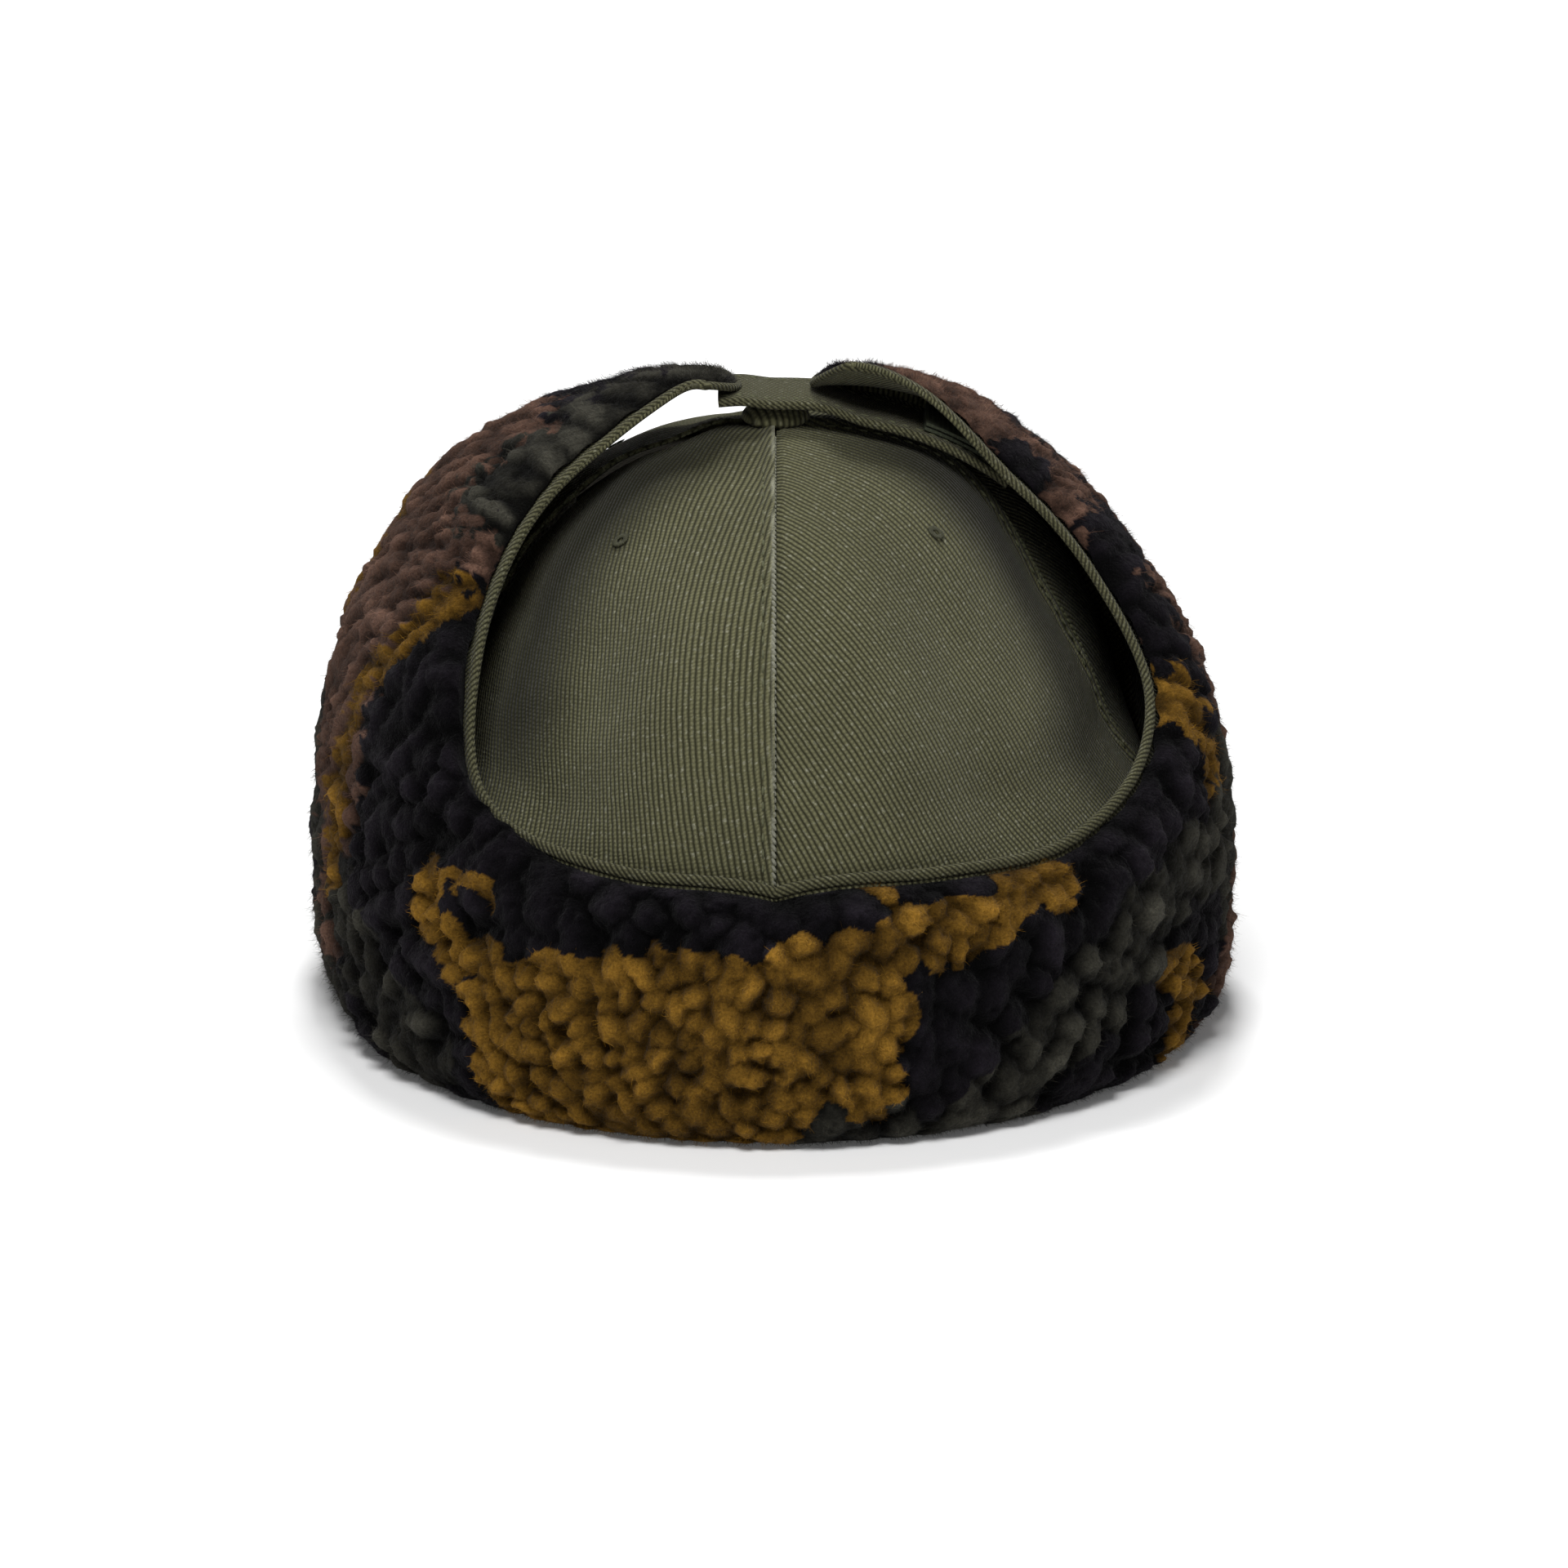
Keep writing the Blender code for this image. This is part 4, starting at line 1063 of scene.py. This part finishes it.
def strapLift(across):
    overButton = button["height"] + 3 * crown["gap"]
    start = cuff["tipFromMiddle"] - cuff["tipRound"]
    rising = lerp(overButton, leftEar["tipLift"] - strap["thickness"] / 2, smooth(across / start))
    past = (-across - button["radius"]) / (2 * button["radius"])
    return np.where(across > 0, rising, lerp(overButton, strap["low"], smooth(past)))


def strapPath(start, end, height, steps):
    across = np.linspace(start, end, steps)
    plan = np.stack([across, np.zeros(steps)], axis=1)
    low = overCrown(plan, strapLift(across) + height)
    out = unit(overCrown(plan, strapLift(across) + height + probe) - low)
    return low, np.tile((0.0, 1.0, 0.0), (steps, 1)), out


def makeStrap():
    start = cuff["tipFromMiddle"] - cuff["tipRound"] + strap["inEar"]
    thick, thin, gap = strap["thickness"], strap["patchThickness"], crown["gap"]
    path, side, out = strapPath(start, strap["end"], thick / 2, strap["steps"])
    section = roundSection(strap["width"] * strap["swell"], thick, thick * strap["corner"])
    # the strap's twill is the darker copy, painted shade
    made = sweptPiece("strap_twill", path, side, out, section, "strapTwillPaintedShade")
    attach(made, "left_ear")
    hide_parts("closure_strap")
    declareSheet(made)
    for name, across in (("rear", 0.5), ("front", -0.5)):
        top = path + out * thick / 2 + side * (across * (strap["width"] - 2 * strap["rowInset"]))
        row = stitchesOn(top, out, strap["pitch"])
        stitchPiece("strap_" + name + "_stitches", row, strap["stitch"], body="left_ear")
    section = roundSection(strap["patchWidth"], thin, thin * strap["patchCorner"])
    for name, body, foot in (("hook", "left_ear", thick + gap), ("loop", "right_ear", thick + thin + 2 * gap)):
        path, side, out = strapPath(*strap["patch"], foot + thin / 2, strap["patchSteps"])
        patch = sweptPiece(name + "_tape", path, side, out, section, "hook")
        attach(patch, body)
        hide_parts(name + "_patch")


makeStrap()
print("strap")

# visor: cloth over and under a board, sewn together in rows that follow its edge
visor = {
    "rootGap": 0.0005, "halfAngle": 56.0, "reach": 0.068, "flare": 1.0, "arch": 0.006, "pitch": 0.03,
    "board": 0.0016, "cloth": 0.0007, "ends": 0.02, "grid": (96, 40), "rim": (0.93, 0.07), "rimDraw": 0.85,
    "rows": (0.14, 0.28, 0.42, 0.56, 0.70, 0.84, 0.96), "rowSpan": (0.015, 0.985), "rowSteps": 400,
    "stitch": (0.0023, 0.0006, 0.0005), "stitchPitch": 0.0034,
}


def visorPoint(u, v):
    side = 2 * lerp(visor["ends"], 1 - visor["ends"], u) - 1
    angle = -math.pi / 2 + side * math.radians(visor["halfAngle"])
    root = crownPoint(angle, crownLength, visor["rootGap"])
    forward = np.sqrt(np.maximum(0.0, np.cos(side * math.pi / 2)))
    reach = visor["reach"] * forward
    x = root[..., 0] * (1 + visor["flare"] * forward * v * reach / visor["reach"])
    y = root[..., 1] - reach * v
    widest = crown["halfWidth"] * math.sin(math.radians(visor["halfAngle"])) * (1 + visor["flare"] / 2)
    return np.stack([x, y, -visor["arch"] * (x / widest) ** 2 - visor["pitch"] * reach * v], axis=-1)


def makeVisor():
    core = visor["board"] / 2 + crown["gap"]
    edge = np.linspace(0, 1, visor["grid"][0] + 1)
    level = core + visor["cloth"] - visorPoint(edge, np.ones(len(edge)))[:, 2].min()

    def drawn(v):  # the cloths draw together over the board's edge
        return core * (1 - visor["rimDraw"] * rise(v, *visor["rim"]))

    def form(way):
        def place(u, v, face):
            at = visorPoint(u, v)
            at[:, 2] += level + way * (drawn(v) + face * visor["cloth"])
            return at, at[:, 0], at[:, 1]
        return place

    for name, way, node in (("top", 1, "visor_upper_cloth"), ("under", -1, "visor_under_cloth")):
        made = sheetPiece("visor_" + name + "_twill", visor["grid"], form(way), "twill")
        onCrown(made, node)
        declareSheet(made)
    across = np.linspace(*visor["rowSpan"], visor["rowSteps"])
    upward = np.tile((0.0, 0.0, 1.0), (len(across), 1))
    for number, share in enumerate(visor["rows"]):
        line = visorPoint(across, np.full(len(across), share))
        line[:, 2] += level + drawn(share) + visor["cloth"]
        stitchPiece(f"visor_row_{number + 1}", stitchesOn(line, upward, visor["stitchPitch"]), visor["stitch"])


makeVisor()
print("visor")

# inside: seam tapes, stiffener, sweatband and the cuff's seam binding
inside = {
    "tapeWidth": 0.018, "tapeThickness": 0.0006, "tapeTop": 0.0057, "tapeGrid": (14, 60), "tapeMost": 0.9,
    "rib": 0.00012, "ribs": 3, "buckram": 0.0008, "buckramTop": 0.3, "buckramGrid": (40, 40),
    "buckramInset": 0.004, "flare": 0.54, "band": 0.0012, "bandWidth": 0.032, "bandGrid": (240, 24),
    "buttGap": 0.0006, "hem": 0.0004, "hemShare": 0.06, "bandRows": {"lower": 0.1, "upper": 0.9},
    "rowSteps": 700, "rowLift": 0.0001, "rowNormal": 0.95, "stitch": (0.0028, 0.0006, 0.0005),
    "stitchPitch": 0.0042, "binding": 0.0042, "bindingGrid": (220, 8), "puff": 0.0004,
}
stackDepth = crown["panelThickness"] + crown["gap"]
tapeDepth = stackDepth + inside["buckram"] + crown["gap"]
bandDepth = tapeDepth + inside["tapeThickness"] + crown["gap"]


def makeTape(seam, degrees):
    depth = stackDepth if seam == "back" else tapeDepth

    def form(u, v, face):
        length = lerp(inside["tapeTop"], crownLength, v)
        radius = radiusAt(length)
        half = np.arcsin(np.minimum(1.0, inside["tapeWidth"] / 2 / radius))
        turn = (2 * u - 1) * np.minimum(half, math.pi / 4 * inside["tapeMost"])
        rib = inside["rib"] * np.cos(math.tau * inside["ribs"] * u) * face
        lift = -depth - rib - (1 - face) * inside["tapeThickness"]
        return clothPoint(math.radians(degrees) + turn, length, lift), turn * radius, length

    made = sheetPiece(seam + "_tape_cloth", inside["tapeGrid"], form, "tape")
    onCrown(made, seam + "_seam_tape")
    declareSheet(made)


def makeBuckram(number):
    middle = math.radians(45 + 90 * number)

    def form(u, v, face):
        length = lerp(rivetRoom, crownLength, lerp(inside["buckramTop"], 1.0, v))
        turn = (2 * u - 1) * (math.pi / 4 - inside["buckramInset"])
        at = clothPoint(middle + turn, length, -stackDepth - (1 - face) * inside["buckram"])
        return at, length * np.sin(turn * inside["flare"]), length * np.cos(turn * inside["flare"])

    node = panelNames[number] + "_buckram"
    made = sheetPiece(node + "_cloth", inside["buckramGrid"], form, "buckram")
    onCrown(made, node)
    declareSheet(made)


def makeSweatband():
    butt = inside["buttGap"] / 2 / crown["halfLength"]
    hem = inside["hemShare"]

    def form(u, v, face):
        angle = math.pi / 2 + lerp(butt, math.tau - butt, u)
        edge = inside["hem"] * (fall(v, hem, hem) + rise(v, 1 - hem, hem)) * (1 - face)
        lift = -bandDepth - (1 - face) * inside["band"] - edge
        at = crownPoint(angle, crownLength - inside["bandWidth"] * v, lift)
        return at, angle * meanRadius, v * inside["bandWidth"]

    made = sheetPiece("sweatband_cloth", inside["bandGrid"], form, "band")
    onCrown(made, "sweatband")
    declareSheet(made)
    angle = np.linspace(0, math.tau, inside["rowSteps"]) + math.pi / 2
    inward = -crownNormal(angle, np.full(len(angle), crownLength * inside["rowNormal"]))
    for name, share in inside["bandRows"].items():
        lift = -bandDepth - inside["band"] - inside["rowLift"]
        line = crownPoint(angle, crownLength - inside["bandWidth"] * share, lift)
        row = stitchesOn(line, inward, inside["stitchPitch"])
        stitchPiece("sweatband_" + name + "_stitches", row, inside["stitch"])


def makeBinding():
    def form(u, v, face):
        angle = np.radians(lerp(cuff["templeAngle"], 180 - cuff["templeAngle"], u))
        puff = inside["puff"] * np.sin(math.pi * v)
        length = lerp(crownLength + crown["rim"], crownLength + crown["gap"], v)
        lift = np.where(face > 0.5, puff * 0.5, -puff) - (1 - face) * inside["binding"]
        return crownPoint(angle, length, lift), angle * meanRadius, length - crownLength

    made = sheetPiece("cuff_binding_cloth", inside["bindingGrid"], form, "tape")
    onCrown(made, "cuff_seam_binding")


for seam, degrees in seamAngles.items():
    makeTape(seam, degrees)
for number in (2, 3):  # the front panels
    makeBuckram(number)
makeSweatband()
makeBinding()
for node, material in {"visor_board": "board", "button_rivet": "steel"}.items():
    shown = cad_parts[node]
    shown.data.materials.clear()
    shown.data.materials.append(materials[material])
print("inside")

# studio: white floor and surround, broad soft lamps given by place, size and power
studio = {
    "floor": (0.90, 0.90, 0.90), "floorSize": 6.0, "fade": (0.25, 0.9), "near": (0.06, 0.06, 0.06),
    "far": (0.75, 0.75, 0.75), "world": 0.10, "target": (-0.0018, -0.0133, 0.0463), "azimuth": 180.0,
    "elevation": 16.0, "distance": 6.0, "frameWidth": 0.343, "sensor": 36.0, "clipEnd": 50.0,
    "lamps": {"key": ((0.10, 1.00, 1.35), 0.6, 23.0), "fill": ((-0.95, 0.75, 0.75), 0.9, 1.0),
              "top": ((0.0, -0.45, 1.35), 0.32, 13.0)},
}


def makeFloor():
    bm = bmesh.new()
    bmesh.ops.create_grid(bm, x_segments=1, y_segments=1, size=studio["floorSize"])
    mesh = toMesh(bm, "floor")
    floor = bpy.data.objects.new("floor", mesh)
    scene.collection.objects.link(floor)
    made, shader, wire = newMaterial("floorPaper", {
        "Base Color": rgba(studio["floor"]), "Roughness": 0.9, "Specular IOR Level": 0.0,
        "Emission Strength": 1.0})
    away = wire.node("ShaderNodeVectorMath", {"operation": "LENGTH"}, {0: wire.place()}, 1)
    glow = away.clipped(*studio["fade"]).mix(rgba(studio["near"]), rgba(studio["far"]))
    glow.into(shader, "Emission Color")
    mesh.materials.append(made)


def makeWorld():
    world = bpy.data.worlds.new("surround")
    world.use_nodes = True
    scene.world = world
    wire = Wire(world.node_tree)
    back = world.node_tree.nodes["Background"]
    back.inputs["Color"].default_value = (1, 1, 1, 1)
    seen = wire.node("ShaderNodeLightPath")
    shown = wire.math("MAXIMUM", seen, Wire(world.node_tree, seen.socket.node.outputs["Is Glossy Ray"]))
    (shown * (1 - studio["world"]) + studio["world"]).into(back, "Strength")


def makeLampsAndCamera():
    target = Vector(studio["target"])
    for name, (place, size, power) in studio["lamps"].items():
        lamp = bpy.data.lights.new(name, "AREA")
        lamp.size = size
        lamp.energy = power
        holder = bpy.data.objects.new(name, lamp)
        holder.location = place
        holder.rotation_euler = (target - Vector(place)).to_track_quat("-Z", "Y").to_euler()
        scene.collection.objects.link(holder)
    lens = bpy.data.cameras.new("camera")
    lens.sensor_width = studio["sensor"]
    lens.lens = studio["sensor"] * studio["distance"] / studio["frameWidth"]
    lens.clip_end = studio["clipEnd"]
    camera = bpy.data.objects.new("camera", lens)
    turn, tilt = math.radians(studio["azimuth"]), math.radians(studio["elevation"])
    away = Vector((math.sin(turn) * math.cos(tilt), -math.cos(turn) * math.cos(tilt), math.sin(tilt)))
    camera.location = target + away * studio["distance"]
    camera.rotation_euler = (-away).to_track_quat("-Z", "Y").to_euler()
    scene.collection.objects.link(camera)
    scene.camera = camera


makeFloor()
makeWorld()
makeLampsAndCamera()
scene.view_settings.view_transform = "Standard"
print("studio")
